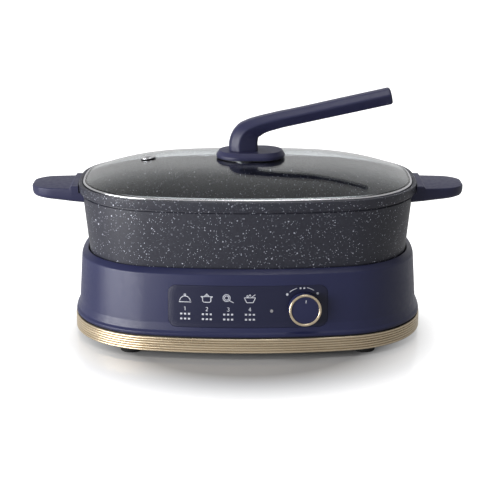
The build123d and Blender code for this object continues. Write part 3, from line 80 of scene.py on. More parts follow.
# %% The outline's arcs
pot_length, pot_width = 332.2, 213.6
side_radius, end_radius, corner_radius = 520.0, 300.0, 84.0
side_centre = pot_width / 2 - side_radius
end_centre = pot_length / 2 - end_radius
reach_side = side_radius - corner_radius
reach_end = end_radius - corner_radius
centre_gap = hypot(end_centre, side_centre)
corner_share = (reach_end**2 + centre_gap**2 - reach_side**2) / (2 * reach_end * centre_gap)
corner_turn = np.arccos(corner_share)
corner_angle = np.arctan2(side_centre, -end_centre) + corner_turn
corner_x = end_centre + reach_end * cos(corner_angle)
corner_y = reach_end * sin(corner_angle)
end_turn = np.arctan2(corner_y, corner_x - end_centre)
side_turn = np.arctan2(corner_y - side_centre, corner_x)


# %% Points and normals of the outline
def outline_arrays(count):
    """Points and outward normals of the pot's top edge, evenly spaced along it. The normal's
    bearing follows the length walked; a point is its arc's centre plus a radius along it."""
    limits = np.array([-end_turn, end_turn, side_turn, pi - side_turn, pi - end_turn])
    limits = np.concatenate([limits, limits[1:] + pi])
    radii = np.array([end_radius, corner_radius, side_radius, corner_radius] * 2)
    centres = [(end_centre, 0), (corner_x, corner_y), (0, side_centre), (-corner_x, corner_y)]
    centres = np.concatenate([centres, -np.array(centres)])
    walked = np.concatenate([[0], np.cumsum(radii * np.diff(limits))])
    bearing = np.interp(linspace(0, walked[-1], count, endpoint=False), walked, limits)
    arc = np.clip(np.searchsorted(limits, bearing, side="right") - 1, 0, len(radii) - 1)
    normals = np.stack([cos(bearing), sin(bearing)], axis=1)
    return centres[arc] + radii[arc, None] * normals, normals


outline_count = 360
edge_points, edge_normals = outline_arrays(outline_count)

# %% [markdown]
# ## Rows of points become a mesh
# A surface is a grid of rows and columns, and four neighbouring points make a face. Where a grid
# closes on itself the last column joins the first. Where a row shrinks to one point, as in the
# middle of a floor, the doubled points are merged, and the normals are turned outwards.

# %% From a grid to an object
crease_angle = 40  # in degrees; a sharper fold stays an edge
merge_distance = 0.002


def add_object(name, data):
    """A new object in the scene."""
    thing = bpy.data.objects.new(name, data)
    scene.collection.objects.link(thing)
    return thing


def grid_faces(rows, columns, wrap_rows=False, wrap_columns=True):
    """Faces between the neighbours of a grid whose points are numbered row by row."""
    row = np.arange(rows if wrap_rows else rows - 1)[:, None]
    column = np.arange(columns if wrap_columns else columns - 1)[None, :]
    below, beside = (row + 1) % rows, (column + 1) % columns
    corners = [row * columns + column, row * columns + beside,
               below * columns + beside, below * columns + column]
    spread = [np.broadcast_to(corner, (row.size, column.size)) for corner in corners]
    return np.stack(spread, -1).reshape(-1, 4)


def object_from(name, points, faces, crease=crease_angle):
    """Mesh object from points in millimetres: merged, facing outwards, smooth below the crease."""
    mesh = bpy.data.meshes.new(name)
    metres = np.asarray(points).reshape(-1, 3) * MM
    mesh.from_pydata(metres.tolist(), [], np.asarray(faces).tolist())
    work = bmesh.new()
    work.from_mesh(mesh)
    bmesh.ops.remove_doubles(work, verts=work.verts, dist=merge_distance * MM)
    bmesh.ops.recalc_face_normals(work, faces=work.faces)
    if work.calc_volume(signed=True) < 0:
        bmesh.ops.reverse_faces(work, faces=work.faces)
    work.to_mesh(mesh)
    work.free()
    mesh.shade_smooth()
    mesh.set_sharp_from_angle(angle=radians(crease))
    return add_object(name, mesh)


def skin(name, grid, wrap_rows=False, crease=crease_angle):
    """Mesh object from one grid of points whose columns close on themselves."""
    return object_from(name, grid, grid_faces(*np.shape(grid)[:2], wrap_rows), crease)


def join_grids(grids, **wraps):
    """Points and faces of several grids, numbered on, so that they make one mesh."""
    points, faces, count = [], [], 0
    for grid in grids:
        points.append(np.reshape(grid, (-1, 3)))
        faces.append(grid_faces(*np.shape(grid)[:2], **wraps) + count)
        count += len(points[-1])
    return np.concatenate(points), np.concatenate(faces)


# %% Soft corners
def soften(corners, radii, steps=6, closed=False):
    """A polyline whose corners are replaced by arcs of the given radii. An arc touches its two
    runs at radius / tan(half the angle) from the corner; its centre is on the bisector."""
    corners = np.asarray(corners, float)
    path = []
    for index, (corner, radius) in enumerate(zip(corners, radii)):
        if radius == 0 or (not closed and index in (0, len(corners) - 1)):
            path.append(corner[None])
            continue
        back = corners[index - 1] - corner
        ahead = corners[(index + 1) % len(corners)] - corner
        back, ahead = back / hypot(*back), ahead / hypot(*ahead)
        half = np.arccos(np.clip(back @ ahead, -1, 1)) / 2
        bisector = (back + ahead) / hypot(*(back + ahead))
        centre = corner + bisector * radius / sin(half)
        first = corner + back * radius / np.tan(half) - centre
        side = np.sign(first[1] * bisector[0] - first[0] * bisector[1])
        turn = side * linspace(0, pi - 2 * half, steps + 1)
        spun = np.stack([first[0] * cos(turn) - first[1] * sin(turn),
                         first[0] * sin(turn) + first[1] * cos(turn)], 1)
        path.append(centre + spun)
    return np.concatenate(path)


def soft_profile(rows, steps=6, closed=False):
    """Softened profile from rows of (grow or radius, height, softness)."""
    rows = np.asarray(rows, float)
    return soften(rows[:, :2], rows[:, 2], steps, closed)


# %% Walls, lathed pieces and how a piece joins the frame
def around(profile):
    """Rows of (grow, height) pairs carried round the outline; a third value scales the row."""
    profile = np.asarray(profile, float)
    grow, height = profile[:, 0], profile[:, 1]
    share = profile[:, 2] if profile.shape[1] > 2 else np.ones(len(profile))
    flat = (edge_points + grow[:, None, None] * edge_normals) * share[:, None, None]
    level = np.broadcast_to(height[:, None, None], flat.shape[:2] + (1,))
    return np.concatenate([flat, level], 2)


def lathe(profile, origin, axis, count=96):
    """Rows of (radius, height) pairs turned about an axis through the origin."""
    axis = np.array(Vector(axis).normalized())
    across = np.cross((0, 0, 1), axis) if abs(axis[2]) < 0.9 else np.array((1.0, 0, 0))
    across = across - axis * (across @ axis)
    across /= np.linalg.norm(across)
    up = np.cross(axis, across)
    angle = linspace(0, 2 * pi, count, endpoint=False)
    ring = cos(angle)[:, None] * across + sin(angle)[:, None] * up
    radius, height = np.asarray(profile, float)[:, :2].T[..., None, None]
    return np.array(origin) + radius * ring + height * axis


finishes = {}  # by material slot, filled in below


def fit(thing, body, slot, *replaced):
    """Give a finished piece its body, its slot and finish, and the solids it stands for."""
    thing.data.materials.append(finishes[slot])
    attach(thing, body)
    if replaced:
        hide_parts(*replaced)


# %% [markdown]
# ## Finishes
# Each finish is a short node tree on one Principled shader. Patterns read Object coordinates in
# metres, so a scale of 1000 means one step to a millimetre. Constant values sit on the sockets.


# %% Helpers for node trees
def set_socket(tree, socket, value):
    """Link a socket to another node's output, or let it hold a constant value."""
    if isinstance(value, bpy.types.NodeSocket):
        tree.links.new(value, socket)
    else:
        socket.default_value = value


def feed(tree, node, **values):
    """Set a node's properties and input sockets by name."""
    for name, value in values.items():
        if hasattr(node, name):
            setattr(node, name, value)
        else:
            set_socket(tree, node.inputs[name.replace("_", " ")], value)
    return node


def place(tree, kind, **values):
    """A new node of this kind, fed with these values."""
    return feed(tree, tree.nodes.new("ShaderNode" + kind), **values)


def reckon(tree, operation, first, second, clamp=False):
    """Result of a Math node on two values."""
    node = place(tree, "Math", operation=operation, use_clamp=clamp)
    set_socket(tree, node.inputs[0], first)
    set_socket(tree, node.inputs[1], second)
    return node.outputs["Value"]


def rescale(tree, value, taken, given):
    """A value brought from the limits taken to the limits given, and clamped there."""
    node = place(tree, "MapRange", Value=value, From_Min=taken[0], From_Max=taken[1],
                 To_Min=given[0], To_Max=given[1])
    return node.outputs["Result"]


def new_finish(name, **sockets):
    """A material with one Principled shader whose named sockets hold constant values."""
    finish = bpy.data.materials.new(name)
    finish.use_nodes = True
    tree = finish.node_tree
    return finish, tree, feed(tree, tree.nodes["Principled BSDF"], **sockets)


def noise(tree, scale, detail=2.0, stretch=(1, 1, 1)):
    """Noise on Object coordinates, stretched along the axes."""
    point = place(tree, "TexCoord").outputs["Object"]
    mapping = place(tree, "Mapping", Vector=point, Scale=stretch)
    texture = place(tree, "TexNoise", Vector=mapping.outputs["Vector"], Scale=scale, Detail=detail)
    return texture.outputs["Fac"]


def ramp(tree, source, *stops):
    """Colour ramp between two stops of (position, colour or grey level), read by a value."""
    node = place(tree, "ValToRGB", Fac=source)
    for element, (position, colour) in zip(node.color_ramp.elements, stops):
        element.position = position
        element.color = (*colour, 1) if np.ndim(colour) else (colour, colour, colour, 1)
    return node.outputs["Color"]


def add_bump(tree, shader, height, strength, distance):
    """Bump from a height value, in metres of depth."""
    bump = place(tree, "Bump", Height=height, Strength=strength, Distance=distance)
    feed(tree, shader, Normal=bump.outputs["Normal"])


def srgb(colour):
    """Linear colour of an 8-bit screen colour."""
    screen = np.array(colour) / 255
    return tuple(np.where(screen <= 0.04045, screen / 12.92, ((screen + 0.055) / 1.055) ** 2.4))


# %% [markdown]
# ### Moulded plastic
# The base and the knob are satin blue-black plastic, and the handles are a little more matt. A
# moulding is never quite even: its colour drifts slowly, its gloss varies a little faster, and a
# fine spark-eroded grain breaks the reflections. Three noises of different size do this.

# %% Plastics
drift_scale, gloss_scale, grain_scale = 14, 220, 2600
fine_depth = 0.0001


def plastic(name, dark, light, roughness, grain=0.03, shine=0.3):
    """Moulded plastic: slow colour drift, uneven gloss and a fine grain."""
    finish, tree, shader = new_finish(name, Specular_IOR_Level=shine, IOR=1.5)
    colour = ramp(tree, noise(tree, drift_scale), (0.35, srgb(dark)), (0.65, srgb(light)))
    dull, bright = roughness * 1.12, roughness * 0.88
    gloss = ramp(tree, noise(tree, gloss_scale), (0.3, bright), (0.7, dull))
    feed(tree, shader, Base_Color=colour, Roughness=gloss)
    add_bump(tree, shader, noise(tree, grain_scale, detail=1), grain, fine_depth)
    return finish


plastics = {  # dark and light colour, roughness, grain, shine
    "navy_shell": ((30, 33, 65), (33, 36, 69), 0.39, 0.02, 0.34),
    "navy_handle": ((36, 37, 63), (40, 41, 68), 0.42, 0.03, 0.28),
    "panel_black": ((25, 27, 50), (27, 29, 53), 0.34, 0.01),
    "black_plastic": ((22, 22, 24), (28, 28, 30), 0.55, 0.15),
    "foot_rubber": ((18, 18, 18), (25, 25, 25), 0.8, 0.3),
    "seal_rubber": ((30, 30, 32), (36, 36, 38), 0.7, 0.2),
    "ceramic": ((222, 218, 206), (232, 229, 220), 0.45, 0.1),
    "relay_case": ((24, 54, 126), (28, 62, 140), 0.35),
    "pointer_white": ((184, 186, 196), (194, 196, 204), 0.5),
    "lamp_lens": ((128, 127, 130), (140, 139, 142), 0.18, 0.0, 0.5),
    "board_green": ((24, 84, 52), (30, 96, 60), 0.4),
    "wire_brown": ((92, 56, 34), (104, 64, 40), 0.5),
    "wire_blue": ((34, 66, 150), (40, 76, 166), 0.5),
    "wire_green": ((92, 150, 40), (112, 166, 48), 0.5),
    "wire_white": ((214, 212, 206), (226, 224, 218), 0.5),
}
finishes.update({slot: plastic(slot, *look) for slot, look in plastics.items()})

# %% [markdown]
# ### Speckled coating
# The pot's coat is charcoal with pale flecks, from dust size to two millimetres. Flecks are rare
# cells of a Voronoi pattern: a cell shows one only where its own random number is high, and the
# distance to its middle, bent by a noise, cuts out an uneven outline. Three such layers lie over a
# mottled, slightly pitted ground.

# %% Speckled coating
fleck_layers = ((360, 0.09, 0.28), (560, 0.14, 0.33), (1050, 0.23, 0.40))  # scale, share, size
mottle_scale, pit_scale, pit_depth = 420, 900, 0.0002


def fleck_layer(tree, scale, share, size):
    """Mask of flecks, 1 inside one: the cell's random value picks it, the distance shapes it."""
    point = place(tree, "TexCoord").outputs["Object"]
    wobble = place(tree, "TexNoise", Vector=point, Scale=scale * 1.6, Detail=2.0)
    bend = place(tree, "MixRGB", blend_type="ADD", Fac=0.55 / scale, Color1=point,
                 Color2=wobble.outputs["Color"])
    cells = place(tree, "TexVoronoi", Vector=bend.outputs["Color"], Scale=scale, Randomness=1.0)
    split = place(tree, "SeparateColor", Color=cells.outputs["Color"])
    chosen = rescale(tree, split.outputs["Red"], (1 - share, 1.0), (0.0, size))
    inside = reckon(tree, "SUBTRACT", chosen, cells.outputs["Distance"])
    return ramp(tree, inside, (0.0, 0.0), (size * 0.25, 1.0))


def coating(name, ground, patch, fleck):
    """Mottled coat with three sizes of pale flecks over a fine pitting."""
    finish, tree, shader = new_finish(name, Roughness=0.46, IOR=1.5, Specular_IOR_Level=0.42)
    mottle = noise(tree, mottle_scale, detail=4)
    colour = ramp(tree, mottle, (0.4, srgb(ground)), (0.62, srgb(patch)))
    marks, *others = [fleck_layer(tree, *layer) for layer in fleck_layers]
    for layer in others:
        both = place(tree, "MixRGB", blend_type="LIGHTEN", Fac=1.0, Color1=marks, Color2=layer)
        marks = both.outputs["Color"]
    mix = place(tree, "MixRGB", Fac=marks, Color1=colour, Color2=(*srgb(fleck), 1))
    feed(tree, shader, Base_Color=mix.outputs["Color"])
    add_bump(tree, shader, noise(tree, pit_scale, detail=3), 0.12, pit_depth)
    return finish


finishes["pot_coating"] = coating("pot_coating", (32, 33, 43), (39, 40, 50), (210, 214, 228))

# %% [markdown]
# ### Metals
# The trim and the knob's bezel are champagne metal, and the lid's rim is polished steel. Drawing
# leaves hair lines that run round a ring, so the noise is squeezed in height and left long along
# the plan, and it moves the roughness as well as the surface.

# %% Metals
line_scale = 3
round_lines = (4, 4, 60)  # stretch of the lines on a ring


def metal(name, dark, light, roughness, stretch=(6, 6, 900), grain=0.05, metallic=1.0):
    """Drawn metal: hair lines that are long along the plan and short in height."""
    finish, tree, shader = new_finish(name, Metallic=metallic)
    lines = noise(tree, line_scale, detail=3, stretch=stretch)
    colour = ramp(tree, lines, (0.3, srgb(dark)), (0.7, srgb(light)))
    sheen = ramp(tree, lines, (0.3, roughness * 0.8), (0.7, roughness * 1.2))
    feed(tree, shader, Base_Color=colour, Roughness=sheen)
    add_bump(tree, shader, lines, grain, fine_depth)
    return finish


metals = {  # dark and light colour, roughness, stretch of the lines, grain, metallic
    "gold_trim": ((186, 170, 144), (198, 183, 158), 0.3, round_lines, 0.01, 0.75),
    "rim_steel": ((206, 206, 210), (220, 220, 223), 0.16, round_lines, 0.01),
    "steel": ((176, 176, 180), (196, 196, 199), 0.32),
    "steel_sheet": ((168, 168, 171), (190, 190, 193), 0.36, (900, 6, 6)),
    "plate_aluminium": ((186, 186, 189), (204, 204, 206), 0.38, (30, 30, 30)),
    "brass_insert": ((188, 158, 92), (206, 178, 112), 0.3),
}
finishes.update({slot: metal(slot, *look) for slot, look in metals.items()})

# %% [markdown]
# ### Glass
# The lid is a closed shell with a real thickness, so one Principled shader with full transmission
# bends light as the real sheet does. The faintest grey keeps its edge visible.

# %% Glass
faint_grey = (*srgb((236, 240, 242)), 1)
finishes["clear_glass"], *_ = new_finish("clear_glass", Base_Color=faint_grey, Roughness=0.0,
                                         IOR=1.45, Transmission_Weight=1.0)

# %% [markdown]
# ## The base housing
# One moulding: a drafted wall that flares at the foot and turns in over a sloping shoulder to a
# thin lip round the well. It is a closed profile of corners, each with its grow, its height and
# its softness. The flare catches the light: tight at its rim and wide where it leaves the wall.

# %% The housing's profile
housing_high = heights_of("base_housing")[1]
trim_low, trim_high = heights_of("trim_band")
pot_low, pot_high = heights_of("pot_vessel")
seam = 1.3
housing_low = trim_high + seam
flare_grow, foot_grow, shoulder_grow, lip_grow = 5.0, 1.1, -1.8, -8.4
flare_top = housing_low + 14.6
shoulder_high = housing_high - 4.5
housing_thick, hem_thick, lip_edge = 2.8, 4.2, 0.4
ledge_level = heights_of("well_tray")[1] + 0.4

housing_profile = soft_profile([
    (flare_grow - 0.9, housing_low, 0),
    (flare_grow, housing_low + 1.2, 0.8),
    (flare_grow, housing_low + 3.0, 1.0),
    (flare_grow - 1.9, housing_low + 4.9, 2.5),
    (foot_grow + 0.2, flare_top - 2.4, 6.0),
    (shoulder_grow, shoulder_high, 2.6),
    (lip_grow + 0.5, housing_high, 0.5),
    (lip_grow, housing_high - lip_edge, 0.3),
    (lip_grow, ledge_level, 0.3),
    (shoulder_grow - housing_thick, ledge_level, 0.3),
    (foot_grow - housing_thick, flare_top, 2),
    (flare_grow - hem_thick, housing_low + 5, 1),
    (flare_grow - hem_thick, housing_low, 0),
])
housing_skin = skin("housing_skin", around(housing_profile), wrap_rows=True)


# %% Where the front wall is
def front_grow(height):
    """Grow of the housing's outside at a height, read from its softened profile."""
    climb = housing_profile[: np.argmax(housing_profile[:, 1])]
    return np.interp(height, climb[:, 1], climb[:, 0])


def on_front(x, height, proud):
    """Points of the front wall, moved out by proud: the long side is an arc about side_centre."""
    x, height, proud = np.broadcast_arrays(x, height, proud)
    y = -side_centre - np.sqrt((side_radius + front_grow(height) + proud) ** 2 - x**2)
    return np.stack([x, y, height], axis=-1)


# %% [markdown]
# ### Pocket and socket
# The control panel sits in a shallow pocket and the power inlet in an opening at the back. Both
# are cut with a Boolean modifier, applied at once, so the piece is a plain mesh.


# %% Cutting
def cut(thing, cutter):
    """Cut one closed mesh from another, apply the cut and delete the cutter."""
    bite = thing.modifiers.new("cut", "BOOLEAN")
    bite.operation, bite.solver, bite.object = "DIFFERENCE", "EXACT", cutter
    bpy.context.view_layer.update()
    seen = thing.evaluated_get(bpy.context.evaluated_depsgraph_get())
    mesh = bpy.data.meshes.new_from_object(seen)
    thing.modifiers.clear()
    thing.data = mesh
    mesh.set_sharp_from_angle(angle=radians(crease_angle))
    bpy.data.objects.remove(cutter)
    return thing


def rounded_rectangle(width, height, radius, steps=8):
    """Closed outline of a rectangle with round corners, about its middle."""
    x, z = width / 2, height / 2
    return soften([(x, -z), (x, z), (-x, z), (-x, -z)], [radius] * 4, steps, closed=True)


def soften_run(outline, step):
    """The same closed outline with points added along its straight runs, about a step apart."""
    ends = np.roll(outline, -1, axis=0)
    count = np.maximum(1, np.round(hypot(*(ends - outline).T) / step).astype(int))
    index = np.repeat(np.arange(len(outline)), count)
    part = (np.arange(count.sum()) - np.repeat(np.cumsum(count) - count, count)) / count[index]
    return outline[index] + (ends - outline)[index] * part[:, None]


# %% The panel's slab
panel_low, panel_high = corners_of("control_panel")
panel_middle = (panel_low + panel_high) / 2
panel_size = panel_high - panel_low
panel_corner, panel_depth, panel_edge = 8.0, 1.4, 0.35
panel_proud, panel_gap, pocket_reach = 0.05, 0.1, 6.0
panel_rings, edge_rings, panel_step = 13, 5, 2.0


def panel_outline(margin):
    """The panel's outline about its middle, grown by a margin."""
    width, _, height = panel_size + 2 * margin
    return soften_run(rounded_rectangle(width, height, panel_corner + margin), panel_step)


def panel_slab(name, margin, front, back, edge=0.0):
    """Closed slab along the front wall: the panel's outline grows from the middle to its edge on
    the front, goes round the edge and shrinks to the middle behind."""
    shape, inner = panel_outline(margin), panel_outline(margin - edge)
    rows = [inner * share for share in linspace(0, 1, panel_rings)]
    proud = [front] * panel_rings
    for turn in linspace(0, pi / 2, edge_rings)[1:] if edge else []:
        rows.append(inner + (shape - inner) * sin(turn))
        proud.append(front - edge * (1 - cos(turn)))
    rows += [shape * share for share in linspace(1, 0, panel_rings)]
    proud += [back] * panel_rings
    flat = np.array(rows) + panel_middle[[0, 2]]
    return skin(name, on_front(flat[..., 0], flat[..., 1], np.array(proud)[:, None]))


# %% Cut the housing
socket_size, socket_corner, socket_near, socket_far = (40.4, 24.4), 6.2, 90, 125
socket_x, socket_z = rounded_rectangle(*socket_size, socket_corner).T
inlet_middle = sum(heights_of("power_inlet")) / 2
socket_rows = np.array([
    np.stack([socket_x * share, np.full(len(socket_x), y), socket_z * share + inlet_middle], 1)
    for y, share in ((socket_near, 0), (socket_near, 1), (socket_far, 1), (socket_far, 0))
])
cut(housing_skin, panel_slab("pocket", panel_gap, pocket_reach, -panel_depth))
cut(housing_skin, skin("socket", socket_rows))
fit(housing_skin, "base", "navy_shell", "base_housing")

# %% [markdown]
# ## The control panel
# A slightly glossier plate, flush in its pocket, with a hair of rolled edge that shows as a seam.

# %% The panel
panel = panel_slab("panel_plate", -panel_gap, panel_proud, panel_proud - panel_depth, panel_edge)
fit(panel, "base", "panel_black", "control_panel")

# %% [markdown]
# ### What is printed on it
# Printing is flat ribbons of ink a few hundredths of a millimetre above the plate. A pictogram is
# a list of pen strokes, and a stroke becomes a ribbon by stepping to both sides of its line. The
# four programmes get a cloche, a pot, a pan and a bowl, a number and two rows of dashes.


# %% Pen strokes
def stroke(path, width, centre, size=1.0):
    """Ribbon along a pen path: both edges are the path moved along its normals."""
    path = np.asarray(path, float) * size + centre
    run = np.gradient(path, axis=0)
    run /= hypot(*run.T)[:, None]
    side = np.stack([-run[:, 1], run[:, 0]], 1) * width / 2
    return np.stack([path - side, path + side])


def arc(centre, radius, start=0, stop=360, count=14, squeeze=1.0):
    """Points of an arc between two angles in degrees, squeezed in height."""
    angle = radians(linspace(start, stop, count))
    x, z = radius * cos(angle), radius * squeeze * sin(angle)
    return np.stack([centre[0] + x, centre[1] + z], 1)


def walk(*corners, step=0.25):
    """The polyline through the corners with points added about one step apart."""
    corners = np.array(corners, float)
    parts = [
        linspace(a, b, max(2, int(hypot(*(b - a)) / step)), endpoint=False)
        for a, b in zip(corners, corners[1:])
    ]
    return np.concatenate(parts + [corners[-1:]])


# %% Pictograms and numbers, each about its own middle
cloche = [
    walk((-3.3, -2.2), (3.3, -2.2)), arc((0, -2.0), 2.9, 8, 172, 24, 1.05),
    arc((0, 1.75), 0.45),
]
pot_sign = [
    walk((-2.2, 1.0), (-2.2, -1.5), (-1.6, -2.1), (1.6, -2.1), (2.2, -1.5), (2.2, 1.0)),
    walk((-3.2, 1.0), (3.2, 1.0)), walk((-3.2, 1.0), (-2.2, 0.2)), walk((3.2, 1.0), (2.2, 0.2)),
    walk((-1.5, 1.0), (-0.7, 1.7), (0.7, 1.7), (1.5, 1.0)), arc((0, 2.1), 0.35),
]
pan_sign = [
    arc((-0.8, 0.4), 1.9, count=40), arc((-0.8, 0.4), 1.15, count=30),
    walk((0.6, -0.9), (2.9, -2.2)),
]
bowl_sign = [
    walk((-3.0, 0.6), (3.0, 0.6)), walk((-3.0, 0.6), (-1.7, -2.1), (1.7, -2.1), (3.0, 0.6)),
    walk((0.6, 0.6), (2.9, 2.3)), arc((-1.2, 1.4), 0.45), arc((0.1, 1.9), 0.3),
]
digits = [
    [walk((-0.45, 0.75), (0, 1.1), (0, -1.1))],
    [np.concatenate([arc((0, 0.5), 0.6, 150, -20), walk((0.5, 0.1), (-0.6, -1.1), (0.65, -1.1))])],
    [arc((0, 0.52), 0.56, 150, -90), arc((0, -0.54), 0.6, 90, -150)],
    [walk((0.3, -1.1), (0.3, 1.1), (-0.65, -0.4), (0.7, -0.4))],
]

# %% Set them out
sign_columns = (-58.9, -38.4, -18.3, 2.2)
sign_level, sign_pen, sign_size = 58.4, 0.7, 1.75
digit_level, digit_pen, digit_size = 48.1, 0.6, 1.6
dash_levels, dash_offsets = (43.1, 38.3), (-3.7, 0.0, 3.7)
dash_half, dash_pen = 1.0, 1.7

ribbons = []
for x, sign, digit in zip(sign_columns, (cloche, pot_sign, pan_sign, bowl_sign), digits):
    ribbons += [stroke(path, sign_pen, (x, sign_level), sign_size) for path in sign]
    ribbons += [stroke(path, digit_pen, (x, digit_level), digit_size) for path in digit]
    ribbons += [
        stroke(walk((-dash_half, 0), (dash_half, 0)), dash_pen, (x + offset, level))
        for level in dash_levels for offset in dash_offsets
    ]

# %% The scale round the knob
knob_joint = next(joint for joint in frame["joints"] if joint["name"] == "knob_turn")
knob_point = np.array(knob_joint["pos_m"]) / MM
knob_axis = np.array(knob_joint["axis"])
scale_middle = knob_point[[0, 2]] + (-1.3, 0.5)
scale_radius, scale_pen, dot_pen, dot_radius = 19.2, 0.6, 1.1, 0.6
bar_half = 0.8
for start, stop in ((129, 105.5), (77.5, 56)):
    ribbons.append(stroke(arc((0, 0), scale_radius, start, stop), scale_pen, scale_middle))
for bearing in (138.5, 42):
    dot = arc((0, 0), scale_radius, bearing, bearing, 1)[0]
    ribbons.append(stroke(arc(dot, dot_radius), dot_pen, scale_middle))
for offset in (-1.9, 1.6):
    bar = walk((offset, -bar_half), (offset, bar_half))
    ribbons.append(stroke(bar, dash_pen, scale_middle + (0, scale_radius - bar_half)))

# %% All ribbons as one piece, just proud of the panel and facing the user
ink_proud = 0.09
laid = [on_front(ribbon[..., 0], ribbon[..., 1], ink_proud) for ribbon in ribbons]
marks = object_from("panel_marks", *join_grids(laid, wrap_columns=False))
work = bmesh.new()
work.from_mesh(marks.data)
bmesh.ops.reverse_faces(work, faces=[face for face in work.faces if face.normal.y > 0])
work.to_mesh(marks.data)
work.free()
fit(marks, "base", "pointer_white")

# %% [markdown]
# ## The trim band
# Six soft ribs with sharp grooves between them, so that every rib carries its own line of light.
# Their formula is the absolute value of a sine, raised to a small power for broad crests and
# narrow grooves.

# %% The trim band
rib_count, rib_depth, rib_power, rib_rows = 6, 1.2, 0.45, 12
trim_grow, trim_inner, trim_bevel_in, trim_bevel_up = 5.6, 2.8, 1.2, 0.4
rib_walk = linspace(0, rib_count, rib_count * rib_rows + 1)
rib_out = trim_grow - rib_depth * (1 - np.abs(sin(pi * rib_walk)) ** rib_power)
rib_level = trim_low + (trim_high - trim_low) * rib_walk / rib_count
trim_profile = np.concatenate([
    np.stack([rib_out, rib_level], 1),
    [(trim_inner + trim_bevel_in, trim_high), (trim_inner, trim_high - trim_bevel_up),
     (trim_inner, trim_low + trim_bevel_up), (trim_inner + trim_bevel_in, trim_low)],
])
fit(skin("trim_ribs", around(trim_profile), True, crease=55), "base", "gold_trim", "trim_band")

# %% [markdown]
# ## Feet
# Four rubber pads, lathed from one profile: a narrow rounded toe with a ring groove in the sole.

# %% Feet
foot_low, foot_high = corners_of("feet")
foot_radius, groove_high = 12.0, 0.5
cover_low = heights_of("bottom_cover")[0]
foot_spots = [
    (x, y, 0.0)
    for x in (foot_low[0] + foot_radius, foot_high[0] - foot_radius)
    for y in (foot_low[1] + foot_radius, foot_high[1] - foot_radius)
]
foot_profile = soft_profile([
    (0, 0, 0), (6.5, 0, 0.1), (6.5, groove_high, 0.1), (7.5, groove_high, 0.1), (7.5, 0, 0.1),
    (10, 0, 1.1), (foot_radius, cover_low, 0.4), (0, cover_low, 0),
])
feet = join_grids([lathe(foot_profile, spot, (0, 0, 1), 64) for spot in foot_spots])
fit(object_from("foot_pads", *feet), "base", "foot_rubber", "feet")

# %% [markdown]
# ## The pot
# A casting with a drafted wall, a deep round foot and a thick band over a shallow groove. Its
# profile goes up the outside, over the band, down the ledge for the lid and down the inside. The
# floor is the same outline scaled to nothing in the middle.

# %% The pot's profile
draft = np.tan(radians(5.7))
band_low, band_grow = pot_high - 9.0, -1.0
wall_grow = -3.9
groove_grow = wall_grow - 1.4
pot_foot_grow = wall_grow - (band_low - pot_low) * draft
pot_thick = 4.0
floor_high, floor_grow = pot_low + pot_thick, pot_foot_grow - pot_thick
ledge_high = pot_high - 2.0
fence_grow, ledge_grow = -3.8, -8.0
pot_profile = soft_profile([
    (pot_foot_grow - 30, pot_low, 0),
    (pot_foot_grow, pot_low, 25),
    (wall_grow - 0.2, band_low - 2.9, 0.4),
    (groove_grow, band_low - 2.1, 0.3),
    (groove_grow, band_low, 0.3),
    (band_grow, band_low, 1.0),
    (0.0, pot_high, 0.9),
    (fence_grow, pot_high, 0.7),
    (fence_grow, ledge_high, 0.3),
    (ledge_grow, ledge_high, 0.8),
    (floor_grow, floor_high, 21),
    (floor_grow - 26, floor_high, 0),
], steps=10)

shares = linspace(1, 0, 16)[1:]
pot_rows = np.concatenate([
    [(pot_profile[0, 0], pot_low, share) for share in shares[::-1]],
    np.column_stack([pot_profile, np.ones(len(pot_profile))]),
    [(pot_profile[-1, 0], floor_high, share) for share in shares],
])
fit(skin("pot_skin", around(pot_rows), crease=50), "pot", "pot_coating", "pot_vessel")

# %% [markdown]
# ## The pot's handles
# Each is a short tongue with a flat top, a crisp upper edge and a soft rising underside. Stations
# run along it, and each is one closed section. Near the tip the plan, the top and the underside
# close along quarter circles. At the pot a low collar rises, and the grown pot is cut away for
# an even gap.

# %% A pot handle
handle_high = corners_of("right_handle")[1]
pot_edge_x = pot_length / 2
collar_rise, collar_start, collar_stop = 2.3, pot_edge_x + 5.5, pot_edge_x + 7.7
handle_top = handle_high[2] - collar_rise
handle_root, handle_end = 150.0, handle_high[0]
wall_x, wall_under, under_slope = 162.2, handle_top - 14.5, 0.1
handle_wide, tip_wide, nose, under_share = 60.0, 51.0, 20.0, 0.97
top_close, under_close = 1.6, 5.0
top_soft, under_soft = (1.1, 0.3), (5.0, 0.4)  # radius, and its most as a share of the height


def grip_section(width, top, under):
    """Closed section across a pot handle, crisp above and soft below."""
    half, high = width / 2, top - under
    low_half = half * under_share
    corners = [(-low_half, under), (low_half, under), (half, top), (-half, top)]
    crisp, soft = min(top_soft[0], high * top_soft[1]), min(under_soft[0], high * under_soft[1])
    return soften(corners, [soft, soft, crisp, crisp], closed=True)


def closing(x, reach):
    """How far a face draws in near the tip: a quarter circle of this radius, 0 before it starts."""
    part = np.clip((x - (handle_end - reach)) / reach, 0, 0.999)
    return reach * (1 - np.sqrt(1 - part**2))


